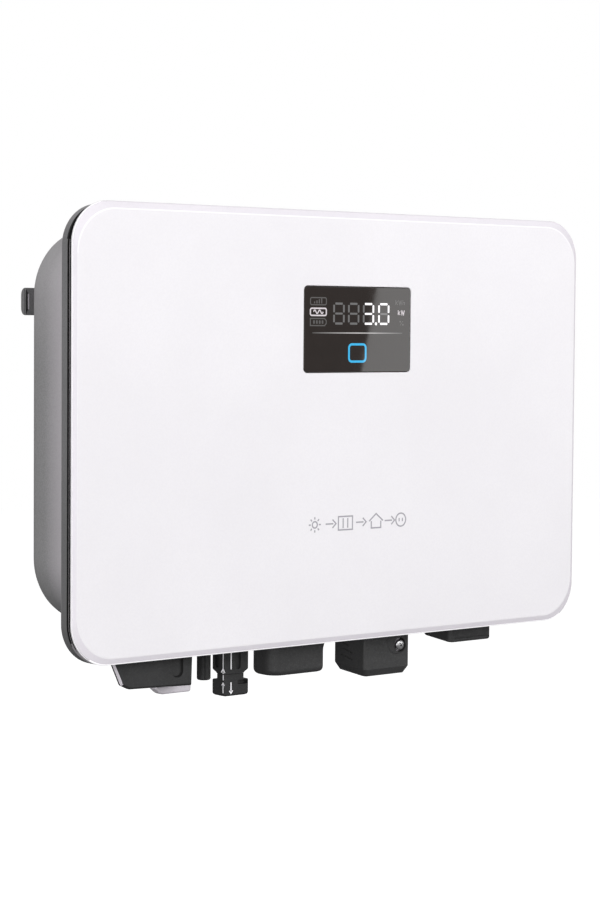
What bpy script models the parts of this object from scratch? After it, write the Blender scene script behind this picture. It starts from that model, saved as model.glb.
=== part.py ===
"""A wall-hung single-phase string inverter, as an assembly of its separate pieces.

Lengths are in metres. +X is right as seen from the front, +Y goes into the wall and +Z is up. The origin is
the middle of the wall bracket's rear face. A depth is a distance back from the flat front of the front cover.
"""

import math

import bmesh
import bpy

GAP = 0.0003  # left between pieces that touch

# The body, without what hangs below it.
BODY_WIDTH = 0.410
BODY_HEIGHT = 0.270
BODY_DEPTH = 0.150
TOP_Z = 0.0575
BOTTOM_Z = TOP_Z - BODY_HEIGHT
RIM_RADIUS = 0.025

# Depths of the layers that show at the rim, from the front cover back to the flange.
COVER_CHAMFER = 0.0013
COVER_CHAMFER_WIDTH = 0.004
COVER_REAR = 0.0031
LID_FRONT = 0.0041
LID_REAR = 0.0051
LID_PLUG_REAR = 0.0076
FLANGE_FRONT = 0.0061
FLANGE_REAR = 0.0132
FLANGE_DROP = 0.0016  # how far the lid's and the flange's top edges lie below the cover's

# The die-cast tub behind the flange.
TUB_INSET = 0.017
TUB_RISE = 0.0037  # how much closer to the rim its top is than its other sides
TUB_RADIUS = 0.041
TUB_REAR = 0.075
TUB_REAR_ROUNDING = 0.010
WALL = 0.003
TUB_BOTTOM_Z = BOTTOM_Z + TUB_INSET
FLOOR_Z = TUB_BOTTOM_Z + WALL
UNDER_Z = TUB_BOTTOM_Z - GAP  # top of the pieces that are fixed under the tub

# The lid's seal and the channel that it lies in, as insets from the rim.
SEAL_OUTER = 0.0095
SEAL_INNER = 0.0125
SEAL_DEPTH = 0.0022

# The display.
WINDOW_WIDTH = 0.0878
WINDOW_HEIGHT = 0.0533
WINDOW_X = 0.0093
WINDOW_Z = -0.0161
WINDOW_RADIUS = 0.0026

# The heat sink and how it hangs.
SINK_HALF_WIDTH = 0.118
SINK_TOP_Z = 0.030
SINK_BOTTOM_Z = -0.182
SINK_BASE_REAR = 0.081
SINK_REAR = 0.146
FIN_COUNT = 18
FIN_WIDTH = 0.0028
OUTER_FIN_WIDTH = 0.008
BAR_HALF_LENGTH = 0.1541
BAR_HALF_HEIGHT = 0.0086
BAR_FRONT = 0.130
BAR_REAR = 0.1356
BAR_ROUNDING = 0.0043
BAR_BOLT_X = SINK_HALF_WIDTH - OUTER_FIN_WIDTH / 2
BRACKET_HALF_WIDTH = 0.095
BRACKET_HALF_HEIGHT = 0.034
BRACKET_SHEET = 0.002

# The d.c. switch.
KNOB_X = -0.1105
KNOB_DEPTH = 0.0348
KNOB_LENGTH = 0.0272
KNOB_THICKNESS = 0.0076
KNOB_BOTTOM_Z = -0.239
SKIRT_RADIUS = 0.0135
SHAFT_RADIUS = 0.003
SHAFT_HOLE_RADIUS = 0.005
GUARD_FRONT = 0.0135
GUARD_SHEET = 0.003
GUARD_BOTTOM_Z = -0.2319
GUARD_FOOT_BOTTOM_Z = UNDER_Z - 0.0025

# The photovoltaic connectors.
PV_DEPTH = 0.0394
PV_SOCKET_X = -0.0603
PV_SOCKET_BOTTOM_Z = -0.2312
PV_BODY_WIDTH = 0.0192
PV_BODY_DEPTH = 0.0132
PV_BODY_CORNER = 0.0012
PV_CHAMFER = 0.0022
PV_NECK_RADIUS = 0.0040
PV_BARREL_RADIUS = 0.007
PLUG_TOP_Z = -0.2352
PLUG_BOTTOM_Z = -0.2452
PLUG_STEM_LENGTH = 0.0140
PV_PIN_X = -0.0812
PV_PIN_RADIUS = 0.00435
PV_PIN_BOTTOM_Z = -0.2341
PV_PIN_BORE_RADIUS = 0.0024
PV_PIN_BORE_LENGTH = 0.020
PV_COLLAR_RADIUS = 0.0085
PV_COLLAR_HEIGHT = 0.003

# The covers under the tub: left, right, front depth, rear depth, bottom.
COM_COVER = (-0.0374, 0.0048, 0.025, 0.050, -0.2349)
AC_COVER = (0.0384, 0.0769, 0.025, 0.0555, -0.2419)
ACCESSORY_CAP = (0.114, 0.151, 0.025, 0.053, -0.2252)
COVER_WALL = 0.002
COVER_LEAST_RADIUS = 0.0008
AC_SCREW_X = 0.0697
AC_SCREW_Z = -0.2227

# Colour, roughness and metallic value of each finish.
FINISHES = {
    "white_paint": ((0.80, 0.79, 0.82), 0.42, 0.0),
    "grey_paint": ((0.33, 0.325, 0.335), 0.55, 0.0),
    "bare_aluminium": ((0.58, 0.58, 0.59), 0.45, 1.0),
    "steel": ((0.62, 0.62, 0.62), 0.35, 1.0),
    "black_plastic": ((0.028, 0.028, 0.030), 0.55, 0.0),
    "light_plastic": ((0.62, 0.60, 0.66), 0.45, 0.0),
    "smoked_acrylic": ((0.030, 0.022, 0.018), 0.12, 0.0),
    "black_rubber": ((0.020, 0.020, 0.020), 0.80, 0.0),
    "circuit_board": ((0.020, 0.110, 0.050), 0.50, 0.0),
    "blue_diffuser": ((0.030, 0.400, 0.750), 0.40, 0.0),
    "copper": ((0.72, 0.36, 0.20), 0.40, 1.0),
    "grey_pad": ((0.30, 0.34, 0.38), 0.75, 0.0),
}


def rectangle(left, right, low, high, radius=0.0, steps=4):
    """Points round a rectangle, counter-clockwise. It takes one corner radius, or four that run
    counter-clockwise from the corner at right and high."""
    if not radius:
        return [(right, high), (left, high), (left, low), (right, low)]
    radii = radius if isinstance(radius, tuple) else (radius,) * 4
    corners = ((right, high, -1, -1), (left, high, 1, -1), (left, low, 1, 1), (right, low, -1, 1))
    points = []
    for quarter, (x, y, inward_x, inward_y) in enumerate(corners):
        size = radii[quarter]
        for step in range(steps + 1):
            angle = (quarter + step / steps) * math.pi / 2
            points.append((x + size * (inward_x + math.cos(angle)), y + size * (inward_y + math.sin(angle))))
    return points


def circle(x, y, radius, sides):
    """Points round a circle, counter-clockwise."""
    turns = [2 * math.pi * side / sides for side in range(sides)]
    return [(x + radius * math.cos(turn), y + radius * math.sin(turn)) for turn in turns]


def body_outline(inset, radius, drop=0.0):
    """The body's rectangle as seen from the front, drawn in by an inset, with its top lowered by a drop."""
    half = BODY_WIDTH / 2 - inset
    return rectangle(-half, half, BOTTOM_Z + inset, TOP_Z - inset - drop, radius, 6)


def loft(sections):
    """A solid through outlines with equal numbers of points, each given with its height."""
    bm = bmesh.new()
    rings = [[bm.verts.new((x, y, height)) for x, y in outline] for outline, height in sections]
    for lower, upper in zip(rings, rings[1:]):
        for i, corner in enumerate(lower):
            j = (i + 1) % len(lower)
            bm.faces.new((corner, lower[j], upper[j], upper[i]))
    bm.faces.new(rings[0])
    bm.faces.new(rings[-1])
    return bm


def prism(outline, low, high):
    """An outline extruded between two heights."""
    bm = bmesh.new()
    face = bm.faces.new([bm.verts.new((x, y, low)) for x, y in outline])
    grown = bmesh.ops.extrude_face_region(bm, geom=[face])["geom"]
    moved = [item for item in grown if isinstance(item, bmesh.types.BMVert)]
    bmesh.ops.translate(bm, verts=moved, vec=(0, 0, high - low))
    return bm


def turned(profile, sides, ring=False):
    """A solid turned about Z from (radius, height) points. A ring's profile stays off the axis."""
    bm = bmesh.new()
    verts = [bm.verts.new((radius, 0, height)) for radius, height in profile]
    pairs = list(zip(verts, verts[1:]))
    if ring:
        pairs.append((verts[-1], verts[0]))
    edges = [bm.edges.new(pair) for pair in pairs]
    bmesh.ops.spin(bm, geom=verts + edges, axis=(0, 0, 1), cent=(0, 0, 0), steps=sides, angle=2 * math.pi)
    bmesh.ops.remove_doubles(bm, verts=bm.verts[:], dist=1e-6)
    return bm


def bevelled(bm, size, segments, chosen):
    """The same solid with the edges that chosen(edge) picks bevelled."""
    edges = [edge for edge in bm.edges if chosen(edge)]
    bmesh.ops.bevel(bm, geom=edges, offset=size, segments=segments, affect="EDGES", profile=0.5)
    return bm


def at_height(height):
    """Picks the edges that lie at one height."""

    def chosen(edge):
        return all(abs(vert.co.z - height) < 1e-6 for vert in edge.verts)

    return chosen


def add_object(name, bm, location=(0, 0, 0), rotation=(0, 0, 0), parent=None):
    """An object from a bmesh, with its faces pointing out."""
    bmesh.ops.recalc_face_normals(bm, faces=bm.faces[:])
    mesh = bpy.data.meshes.new(name)
    bm.to_mesh(mesh)
    bm.free()
    mesh.shade_smooth()
    mesh.set_sharp_from_angle(angle=math.radians(35))
    obj = bpy.data.objects.new(name, mesh)
    obj.location = location
    obj.rotation_euler = rotation
    obj.parent = parent
    bpy.context.scene.collection.objects.link(obj)
    return obj


def add_part(name, finish, bm, **place):
    """A sub-part: an object with a material of its own."""
    obj = add_object(name, bm, **place)
    colour, roughness, metallic = FINISHES[finish]
    material = bpy.data.materials.new(f"{name}_{finish}")
    material.use_nodes = True
    shader = material.node_tree.nodes["Principled BSDF"]
    shader.inputs["Base Color"].default_value = (*colour, 1)
    shader.inputs["Roughness"].default_value = roughness
    shader.inputs["Metallic"].default_value = metallic
    obj.data.materials.append(material)
    return obj


def combine(part, operation, tool):
    """Adds or takes away a helper's shape. The helper isn't part of the object."""
    tool.hide_render = True
    tool.display_type = "WIRE"
    modifier = part.modifiers.new(tool.name, "BOOLEAN")
    modifier.operation = operation
    modifier.object = tool


def cut(part, bm, **place):
    combine(part, "DIFFERENCE", add_object(f"{part.name}_cutter", bm, **place))


def fuse(part, bm, **place):
    combine(part, "UNION", add_object(f"{part.name}_addition", bm, **place))


def frontal():
    """The place of a piece drawn as seen from the front: its X and Y are the world's X and Z, and its
    height is minus the depth."""
    return {"location": (0, -BODY_DEPTH, 0), "rotation": (math.pi / 2, 0, 0)}


def plan(outline):
    """An outline given in X and depth, in world X and Y."""
    return [(x, distance - BODY_DEPTH) for x, distance in outline]


def block(name, finish, x_range, depth_range, z_range, radius=0.0, steps=2):
    """A block with round upright edges."""
    outline = plan(rectangle(*x_range, *depth_range, radius, steps))
    return add_part(name, finish, prism(outline, *z_range))


def rim_screw_places():
    """Where the lid's screws stand, near the rim."""
    inset = 0.0048
    corner = 0.0110
    side = BODY_WIDTH / 2 - corner
    top = TOP_Z - FLANGE_DROP - inset
    bottom = BOTTOM_Z + inset
    return (
        (-side, TOP_Z - FLANGE_DROP - corner),
        (side, TOP_Z - FLANGE_DROP - corner),
        (-side, BOTTOM_Z + corner),
        (side, BOTTOM_Z + corner),
        (0.0, top),
        (0.0, bottom),
    )


def make_front():
    """The painted front cover, the lid behind it, their gasket and seal, and the display."""
    half = WINDOW_WIDTH / 2
    height = WINDOW_HEIGHT / 2
    left = WINDOW_X - half
    right = WINDOW_X + half
    low = WINDOW_Z - height
    high = WINDOW_Z + height

    rim = body_outline(0, RIM_RADIUS)
    face = body_outline(COVER_CHAMFER_WIDTH, RIM_RADIUS - COVER_CHAMFER_WIDTH)
    panel = loft([(rim, -COVER_REAR), (rim, -COVER_CHAMFER), (face, 0)])
    cover = add_part("front_cover", "white_paint", panel, **frontal())
    opening = rectangle(left - GAP, right + GAP, low - GAP, high + GAP, WINDOW_RADIUS + GAP)
    cut(cover, prism(opening, -2 * COVER_REAR, COVER_REAR), **frontal())

    pane = prism(rectangle(left, right, low, high, WINDOW_RADIUS), -COVER_REAR, -0.0001)
    add_part("display_window", "smoked_acrylic", pane, **frontal())

    gasket_outer = 0.0012
    gasket_inner = 0.0070
    around = body_outline(gasket_outer, RIM_RADIUS - gasket_outer)
    gasket = prism(around, -LID_FRONT + GAP, -COVER_REAR - GAP)
    gasket = add_part("cover_gasket", "black_rubber", gasket, **frontal())
    hole = body_outline(gasket_inner, RIM_RADIUS - gasket_inner)
    cut(gasket, prism(hole, -2 * LID_FRONT, 0), **frontal())

    lip = body_outline(0.0002, RIM_RADIUS, FLANGE_DROP)
    plug_inset = TUB_INSET + WALL + 0.0008
    plug = body_outline(plug_inset, TUB_RADIUS - WALL, -TUB_RISE)
    land = body_outline(plug_inset - 0.0001, TUB_RADIUS - WALL, -TUB_RISE)
    sections = [(lip, -LID_FRONT), (lip, -LID_REAR), (land, -LID_REAR), (plug, -LID_PLUG_REAR)]
    lid = add_part("front_lid", "grey_paint", loft(sections), **frontal())
    margin = 0.0015
    board_opening = rectangle(left - margin, right + margin, low - margin, high + margin, WINDOW_RADIUS)
    cut(lid, prism(board_opening, -2 * LID_PLUG_REAR, 0), **frontal())

    around = body_outline(SEAL_OUTER, RIM_RADIUS - SEAL_OUTER, FLANGE_DROP)
    seal = prism(around, -FLANGE_FRONT - SEAL_DEPTH, -LID_REAR - GAP)
    seal = add_part("lid_seal", "black_rubber", seal, **frontal())
    inside = body_outline(SEAL_INNER, RIM_RADIUS - SEAL_INNER, FLANGE_DROP)
    cut(seal, prism(inside, -3 * FLANGE_FRONT, 0), **frontal())

    digits_front = COVER_REAR + GAP
    digits_rear = 0.0080
    board_rear = 0.0099
    frame = 0.003
    digits_low = WINDOW_Z - 0.004
    face = rectangle(left + frame, right - frame, digits_low, high - frame)
    digits = prism(face, -digits_rear, -digits_front)
    add_part("digit_display", "black_plastic", digits, **frontal())
    board = prism(rectangle(left, right, low, high), -board_rear, -digits_rear - GAP)
    add_part("display_board", "circuit_board", board, **frontal())
    ring_outer = 0.0062
    ring_inner = 0.0040
    profile = [
        (ring_inner, -digits_rear),
        (ring_outer, -digits_rear),
        (ring_outer, -digits_front),
        (ring_inner, -digits_front),
    ]
    ring = turned(profile, 16, ring=True)
    add_part(
        "indicator_light_guide",
        "blue_diffuser",
        ring,
        location=(WINDOW_X, -BODY_DEPTH, low + 0.0105),
        rotation=(math.pi / 2, 0, 0),
    )
    return lid


def make_housing():
    """The tub with its flange and seal channel, as one casting."""
    rear_inner = TUB_REAR - WALL
    inner_rounding = TUB_REAR_ROUNDING - WALL
    inner_radius = TUB_RADIUS - WALL
    inner_inset = TUB_INSET + WALL
    sections = []
    inner_steps = 2
    for step in range(inner_steps + 1):
        turn = step / inner_steps * math.pi / 2
        inset = inner_rounding * (1 - math.sin(turn))
        height = -rear_inner + inner_rounding * (1 - math.cos(turn))
        sections.append((body_outline(inner_inset + inset, inner_radius - inset, -TUB_RISE), height))
    sections.append((body_outline(inner_inset, inner_radius, -TUB_RISE), -FLANGE_FRONT))
    channel_floor = -FLANGE_FRONT - SEAL_DEPTH - GAP
    for inset, height in (
        (SEAL_INNER + GAP, -FLANGE_FRONT),
        (SEAL_INNER + GAP, channel_floor),
        (SEAL_OUTER - GAP, channel_floor),
        (SEAL_OUTER - GAP, -FLANGE_FRONT),
        (0, -FLANGE_FRONT),
        (0, -FLANGE_REAR),
    ):
        sections.append((body_outline(inset, RIM_RADIUS - inset, FLANGE_DROP), height))
    sections.append((body_outline(TUB_INSET, TUB_RADIUS, -TUB_RISE), -FLANGE_REAR))
    outer_steps = 3
    for step in range(outer_steps + 1):
        turn = step / outer_steps * math.pi / 2
        inset = TUB_REAR_ROUNDING * (1 - math.cos(turn))
        height = -TUB_REAR + TUB_REAR_ROUNDING * (1 - math.sin(turn))
        sections.append((body_outline(TUB_INSET + inset, TUB_RADIUS - inset, -TUB_RISE), height))
    return add_part("housing_tub", "grey_paint", loft(sections), **frontal())


def drill_tub(tub, outlines):
    """Cuts openings for the connectors in the tub's bottom wall. Outlines are in X and depth."""
    bm = bmesh.new()
    for outline in outlines:
        piece = prism(plan(outline), TUB_BOTTOM_Z - WALL, FLOOR_Z + WALL)
        mesh = bpy.data.meshes.new("opening")
        bmesh.ops.recalc_face_normals(piece, faces=piece.faces[:])
        piece.to_mesh(mesh)
        piece.free()
        bm.from_mesh(mesh)
        bpy.data.meshes.remove(mesh)
    cut(tub, bm)


def screw_profile(tip, head_front, head_rear, shank, head):
    """The profile, for turning, of a screw that is driven from behind. It takes depths and radii."""
    return [
        (0, -tip),
        (shank, -tip),
        (shank, -head_front),
        (head, -head_front),
        (head, -head_rear),
        (0, -head_rear),
    ]


def make_lid_screws(tub, lid):
    """Screws from behind, through the flange into the lid."""
    shank = 0.0015
    head = 0.0028
    tip = LID_FRONT + GAP
    head_front = FLANGE_REAR + GAP
    head_rear = head_front + 0.0024
    profile = screw_profile(tip, head_front, head_rear, shank, head)
    for number, (x, z) in enumerate(rim_screw_places(), 1):
        place = {"location": (x, -BODY_DEPTH, z), "rotation": (math.pi / 2, 0, 0)}
        add_part(f"lid_screw_{number}", "steel", turned(profile, 8), **place)
        hole = circle(x, z, shank + GAP, 8)
        cut(tub, prism(hole, -FLANGE_REAR - 0.001, -FLANGE_FRONT + 0.001), **frontal())
        cut(lid, prism(hole, -LID_REAR - 0.001, -LID_FRONT + 0.001), **frontal())


def make_heat_sink():
    """A base plate with upright fins, notched at the back for the hanger bar and the bracket's hook."""
    pitch = (2 * SINK_HALF_WIDTH - 2 * OUTER_FIN_WIDTH) / (FIN_COUNT - 1)
    outline = [(SINK_HALF_WIDTH, TUB_REAR + GAP), (-SINK_HALF_WIDTH, TUB_REAR + GAP)]
    outline += [(-SINK_HALF_WIDTH, SINK_REAR), (-SINK_HALF_WIDTH + OUTER_FIN_WIDTH, SINK_REAR)]
    outline.append((-SINK_HALF_WIDTH + OUTER_FIN_WIDTH, SINK_BASE_REAR))
    for fin in range(1, FIN_COUNT - 1):
        x = -SINK_HALF_WIDTH + OUTER_FIN_WIDTH + pitch * fin
        left = x - FIN_WIDTH / 2
        right = x + FIN_WIDTH / 2
        outline += [(left, SINK_BASE_REAR), (left, SINK_REAR), (right, SINK_REAR), (right, SINK_BASE_REAR)]
    outline.append((SINK_HALF_WIDTH - OUTER_FIN_WIDTH, SINK_BASE_REAR))
    outline += [(SINK_HALF_WIDTH - OUTER_FIN_WIDTH, SINK_REAR), (SINK_HALF_WIDTH, SINK_REAR)]
    sink = add_part("heat_sink", "bare_aluminium", prism(plan(outline), SINK_BOTTOM_Z, SINK_TOP_Z))

    beyond = SINK_REAR + 0.005
    bar_room = BAR_HALF_HEIGHT + 0.0006
    bar_notch = plan(rectangle(-BODY_WIDTH / 2, BODY_WIDTH / 2, BAR_FRONT - GAP, beyond))
    cut(sink, prism(bar_notch, -bar_room, bar_room))
    hook_room = BRACKET_HALF_WIDTH + 0.003
    hook_front = BAR_FRONT - 0.006
    hook_notch = plan(rectangle(-hook_room, hook_room, hook_front, beyond))
    cut(sink, prism(hook_notch, -0.015, 0.013))
    return sink


def make_hanger(sink):
    """The bar across the heat sink, its two bolts, and the wall bracket whose hook carries it."""
    # Drawn in Y and Z, with its rear edges rounded, and turned so that it runs along X.
    front = BAR_FRONT - BODY_DEPTH
    rear = BAR_REAR - BODY_DEPTH
    section = [(front, BAR_HALF_HEIGHT), (front, -BAR_HALF_HEIGHT)]
    for side, first in ((-1, 270), (1, 0)):
        middle = side * (BAR_HALF_HEIGHT - BAR_ROUNDING)
        for step in range(5):
            angle = math.radians(first + 90 * step / 4)
            y = rear - BAR_ROUNDING + BAR_ROUNDING * math.cos(angle)
            section.append((y, middle + BAR_ROUNDING * math.sin(angle)))
    bar = add_part(
        "hanger_bar",
        "grey_paint",
        prism(section, -BAR_HALF_LENGTH, BAR_HALF_LENGTH),
        rotation=(math.pi / 2, 0, math.pi / 2),
    )
    slot_from_end = 0.0009
    slot_width = 0.0019
    slot_half_height = 0.005
    slot_depth = 0.0012
    for side in (-1, 1):
        outer = side * (BAR_HALF_LENGTH - slot_from_end)
        ends = sorted((outer, outer - side * slot_width))
        slot = rectangle(*ends, -slot_half_height, slot_half_height, slot_width * 0.47, 2)
        cut(bar, prism(slot, -BAR_FRONT - slot_depth, -BAR_FRONT + 0.001), **frontal())

    shank = 0.0025
    head = 0.0042
    tip = 0.112
    head_front = BAR_REAR + GAP
    head_rear = head_front + 0.0035
    profile = screw_profile(tip, head_front, head_rear, shank, head)
    for side, name in ((-1, "hanger_bolt_left"), (1, "hanger_bolt_right")):
        x = side * BAR_BOLT_X
        place = {"location": (x, -BODY_DEPTH, 0), "rotation": (math.pi / 2, 0, 0)}
        add_part(name, "steel", turned(profile, 12), **place)
        hole = circle(x, 0, shank + GAP, 12)
        cut(bar, prism(hole, -BAR_REAR - 0.001, -BAR_FRONT + 0.001), **frontal())
        cut(sink, prism(hole, -BAR_FRONT - 0.001, -tip + 0.001), **frontal())

    arm_top = -BAR_HALF_HEIGHT - GAP
    arm_bottom = arm_top - BRACKET_SHEET
    lip_rear = -(BODY_DEPTH - BAR_FRONT) - GAP
    lip_front = lip_rear - BRACKET_SHEET
    lip_top = 0.004
    # Drawn in Y and Z, and turned so that it runs along X.
    section = [
        (0, -BRACKET_HALF_HEIGHT),
        (0, BRACKET_HALF_HEIGHT),
        (-BRACKET_SHEET, BRACKET_HALF_HEIGHT),
        (-BRACKET_SHEET, arm_top),
        (lip_rear, arm_top),
        (lip_rear, lip_top),
        (lip_front, lip_top),
        (lip_front, arm_bottom),
        (-BRACKET_SHEET, arm_bottom),
        (-BRACKET_SHEET, -BRACKET_HALF_HEIGHT),
    ]
    bracket = add_part(
        "wall_bracket",
        "steel",
        prism(section, -BRACKET_HALF_WIDTH, BRACKET_HALF_WIDTH),
        rotation=(math.pi / 2, 0, math.pi / 2),
    )
    anchor_x = BRACKET_HALF_WIDTH - 0.018
    anchor_z = BRACKET_HALF_HEIGHT - 0.011
    for x in (-anchor_x, 0, anchor_x):
        for z in (-anchor_z, anchor_z):
            hole = circle(x, z, 0.0035, 10)
            cut(bracket, prism(hole, -BODY_DEPTH - 0.001, -BODY_DEPTH + BRACKET_SHEET + 0.001), **frontal())


def make_guard():
    """The d.c. switch's guard: a plate in front of the knob with a blind slot, and a foot under the tub."""
    outline = [
        (-0.1080, UNDER_Z),
        (-0.1460, UNDER_Z),
        (-0.1722, -0.2045),
        (-0.1616, -0.2275),
        (-0.1555, -0.2304),
        (-0.1092, GUARD_BOTTOM_Z),
    ]
    edge = 0.0009
    plate = prism(outline, -GUARD_FRONT - GUARD_SHEET, -GUARD_FRONT)
    plate = bevelled(plate, edge, 1, at_height(-GUARD_FRONT))
    guard = add_part("dc_switch_guard", "black_plastic", plate, **frontal())
    slot_depth = 0.0014
    slot = rectangle(-0.1245, -0.1163, -0.2262, UNDER_Z + 0.006, 0.0040)
    cut(guard, prism(slot, -GUARD_FRONT - slot_depth, -GUARD_FRONT + 0.001), **frontal())
    foot = plan(rectangle(-0.1455, -0.0915, GUARD_FRONT + 0.001, 0.056, 0.003))
    fuse(guard, prism(foot, GUARD_FOOT_BOTTOM_Z, UNDER_Z))
    hole = plan(circle(KNOB_X, KNOB_DEPTH, SHAFT_HOLE_RADIUS, 12))
    cut(guard, prism(hole, GUARD_FOOT_BOTTOM_Z - 0.001, UNDER_Z + 0.001))


def make_switch():
    """The d.c. switch: the body inside the tub, and the shaft and knob that turn together."""
    axis = bpy.data.objects.new("dc_switch_axis", None)
    axis.location = (KNOB_X, KNOB_DEPTH - BODY_DEPTH, TUB_BOTTOM_Z)
    bpy.context.scene.collection.objects.link(axis)

    shaft_top = FLOOR_Z + 0.014
    shaft_bottom = GUARD_FOOT_BOTTOM_Z - 0.012
    # The knob and the shaft are drawn from the axis object, whose height is the tub's bottom.
    shaft = prism(circle(0, 0, SHAFT_RADIUS, 12), shaft_bottom - TUB_BOTTOM_Z, shaft_top - TUB_BOTTOM_Z)
    add_part("dc_switch_shaft", "steel", shaft, parent=axis)

    skirt_height = 0.005
    skirt_top = GUARD_FOOT_BOTTOM_Z - GAP - TUB_BOTTOM_Z
    skirt_bottom = skirt_top - skirt_height
    profile = [(0, skirt_top), (SKIRT_RADIUS, skirt_top), (SKIRT_RADIUS, skirt_bottom), (0, skirt_bottom)]
    knob = add_part("dc_switch_knob", "light_plastic", turned(profile, 24), parent=axis)
    grip_bottom = KNOB_BOTTOM_Z - TUB_BOTTOM_Z
    half_length = KNOB_LENGTH / 2
    half_thickness = KNOB_THICKNESS / 2
    edge = 0.0014
    corner = 0.0016
    wide = rectangle(-half_length, half_length, -half_thickness, half_thickness, corner, 3)
    narrow = rectangle(
        -half_length + edge, half_length - edge, -half_thickness + edge, half_thickness - edge, corner / 2, 3
    )
    grip = loft([(wide, skirt_top - skirt_height / 2), (wide, grip_bottom + edge), (narrow, grip_bottom)])
    fuse(knob, grip, parent=axis)
    bore = circle(0, 0, SHAFT_RADIUS + GAP, 12)
    cut(knob, prism(bore, shaft_bottom - GAP - TUB_BOTTOM_Z, skirt_top + 0.001), parent=axis)

    x_range = (-0.1320, -0.0915)
    depth_range = (0.018, 0.054)
    body = block("dc_switch_body", "black_plastic", x_range, depth_range, (FLOOR_Z + GAP, -0.152), 0.002)
    bore = plan(circle(KNOB_X, KNOB_DEPTH, SHAFT_RADIUS + GAP, 12))
    cut(body, prism(bore, FLOOR_Z - 0.001, shaft_top + GAP))
    return circle(KNOB_X, KNOB_DEPTH, SHAFT_HOLE_RADIUS, 12)


def pv_outline(inset=0.0):
    """The larger panel connector's section, drawn in by an inset."""
    half_width = PV_BODY_WIDTH / 2 - inset
    half_depth = PV_BODY_DEPTH / 2 - inset
    return rectangle(-half_width, half_width, -half_depth, half_depth, PV_BODY_CORNER, 2)


def make_positive_socket(nut_top):
    """The larger panel connector: a block with a latch slot in front, and a barrel through the tub."""
    place = {"location": (PV_SOCKET_X, PV_DEPTH - BODY_DEPTH, 0)}
    sections = [
        (pv_outline(PV_CHAMFER), PV_SOCKET_BOTTOM_Z),
        (pv_outline(), PV_SOCKET_BOTTOM_Z + PV_CHAMFER),
        (pv_outline(), UNDER_Z),
    ]
    socket = add_part("pv_positive_socket", "black_plastic", loft(sections), **place)
    barrel_overlap = 0.004
    barrel_top = nut_top + 0.004
    fuse(socket, prism(circle(0, 0, PV_BARREL_RADIUS, 16), UNDER_Z - barrel_overlap, barrel_top), **place)
    bore_top = PV_SOCKET_BOTTOM_Z + PLUG_STEM_LENGTH + 0.001
    bore = circle(0, 0, PV_NECK_RADIUS + GAP, 16)
    cut(socket, prism(bore, PV_SOCKET_BOTTOM_Z - 0.001, bore_top), **place)
    front = PV_DEPTH - PV_BODY_DEPTH / 2
    slot_depth = 0.0012
    slot = rectangle(PV_SOCKET_X - 0.0007, PV_SOCKET_X + 0.0031, -0.2282, UNDER_Z - 0.009, 0.0018, 3)
    cut(socket, prism(slot, -front - slot_depth, -front + 0.001), **frontal())


def make_dust_plug():
    """The plug that closes the larger connector, drawn from the socket's bottom: a block, a narrower waist and
    a stem."""
    place = {"location": (PV_SOCKET_X, PV_DEPTH - BODY_DEPTH, PV_SOCKET_BOTTOM_Z)}
    top = PLUG_TOP_Z - PV_SOCKET_BOTTOM_Z
    bottom = PLUG_BOTTOM_Z - PV_SOCKET_BOTTOM_Z
    edge = 0.0008
    body = bevelled(prism(pv_outline(), bottom, top), edge, 1, at_height(bottom))
    plug = add_part("pv_dust_plug", "black_plastic", body, **place)
    waist_inset = 0.0034
    half_width = PV_BODY_WIDTH / 2 - waist_inset
    half_depth = PV_BODY_DEPTH / 2
    waist = rectangle(-half_width, half_width, -half_depth + GAP, half_depth - GAP, PV_BODY_CORNER, 2)
    overlap = 0.0015
    fuse(plug, prism(waist, top - overlap, -GAP), **place)
    fuse(plug, prism(circle(0, 0, PV_NECK_RADIUS, 16), top - overlap, PLUG_STEM_LENGTH), **place)


def make_negative_socket(nut_top):
    """The slim connector pin, with four shallow flutes along it and a blind bore."""
    y = PV_DEPTH - BODY_DEPTH
    top = nut_top + 0.004
    edge = 0.0006
    collar_bottom = UNDER_Z - PV_COLLAR_HEIGHT
    profile = [
        (0, top),
        (PV_BARREL_RADIUS, top),
        (PV_BARREL_RADIUS, UNDER_Z),
        (PV_COLLAR_RADIUS, UNDER_Z),
        (PV_COLLAR_RADIUS, collar_bottom),
        (PV_PIN_RADIUS, collar_bottom),
        (PV_PIN_RADIUS, PV_PIN_BOTTOM_Z + edge),
        (PV_PIN_RADIUS - edge, PV_PIN_BOTTOM_Z),
        (PV_PIN_BORE_RADIUS, PV_PIN_BOTTOM_Z),
        (PV_PIN_BORE_RADIUS, PV_PIN_BOTTOM_Z + PV_PIN_BORE_LENGTH),
        (0, PV_PIN_BOTTOM_Z + PV_PIN_BORE_LENGTH),
    ]
    pin = add_part("pv_negative_socket", "black_plastic", turned(profile, 16), location=(PV_PIN_X, y, 0))
    flute = 0.0007
    flute_count = 4
    flute_top = UNDER_Z - 0.008
    for number in range(flute_count):
        angle = 2 * math.pi * (number + 0.5) / flute_count
        x = PV_PIN_X + PV_PIN_RADIUS * math.cos(angle)
        flute_y = y + PV_PIN_RADIUS * math.sin(angle)
        cut(pin, prism(circle(x, flute_y, flute, 6), PV_PIN_BOTTOM_Z - 0.001, flute_top))


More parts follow.
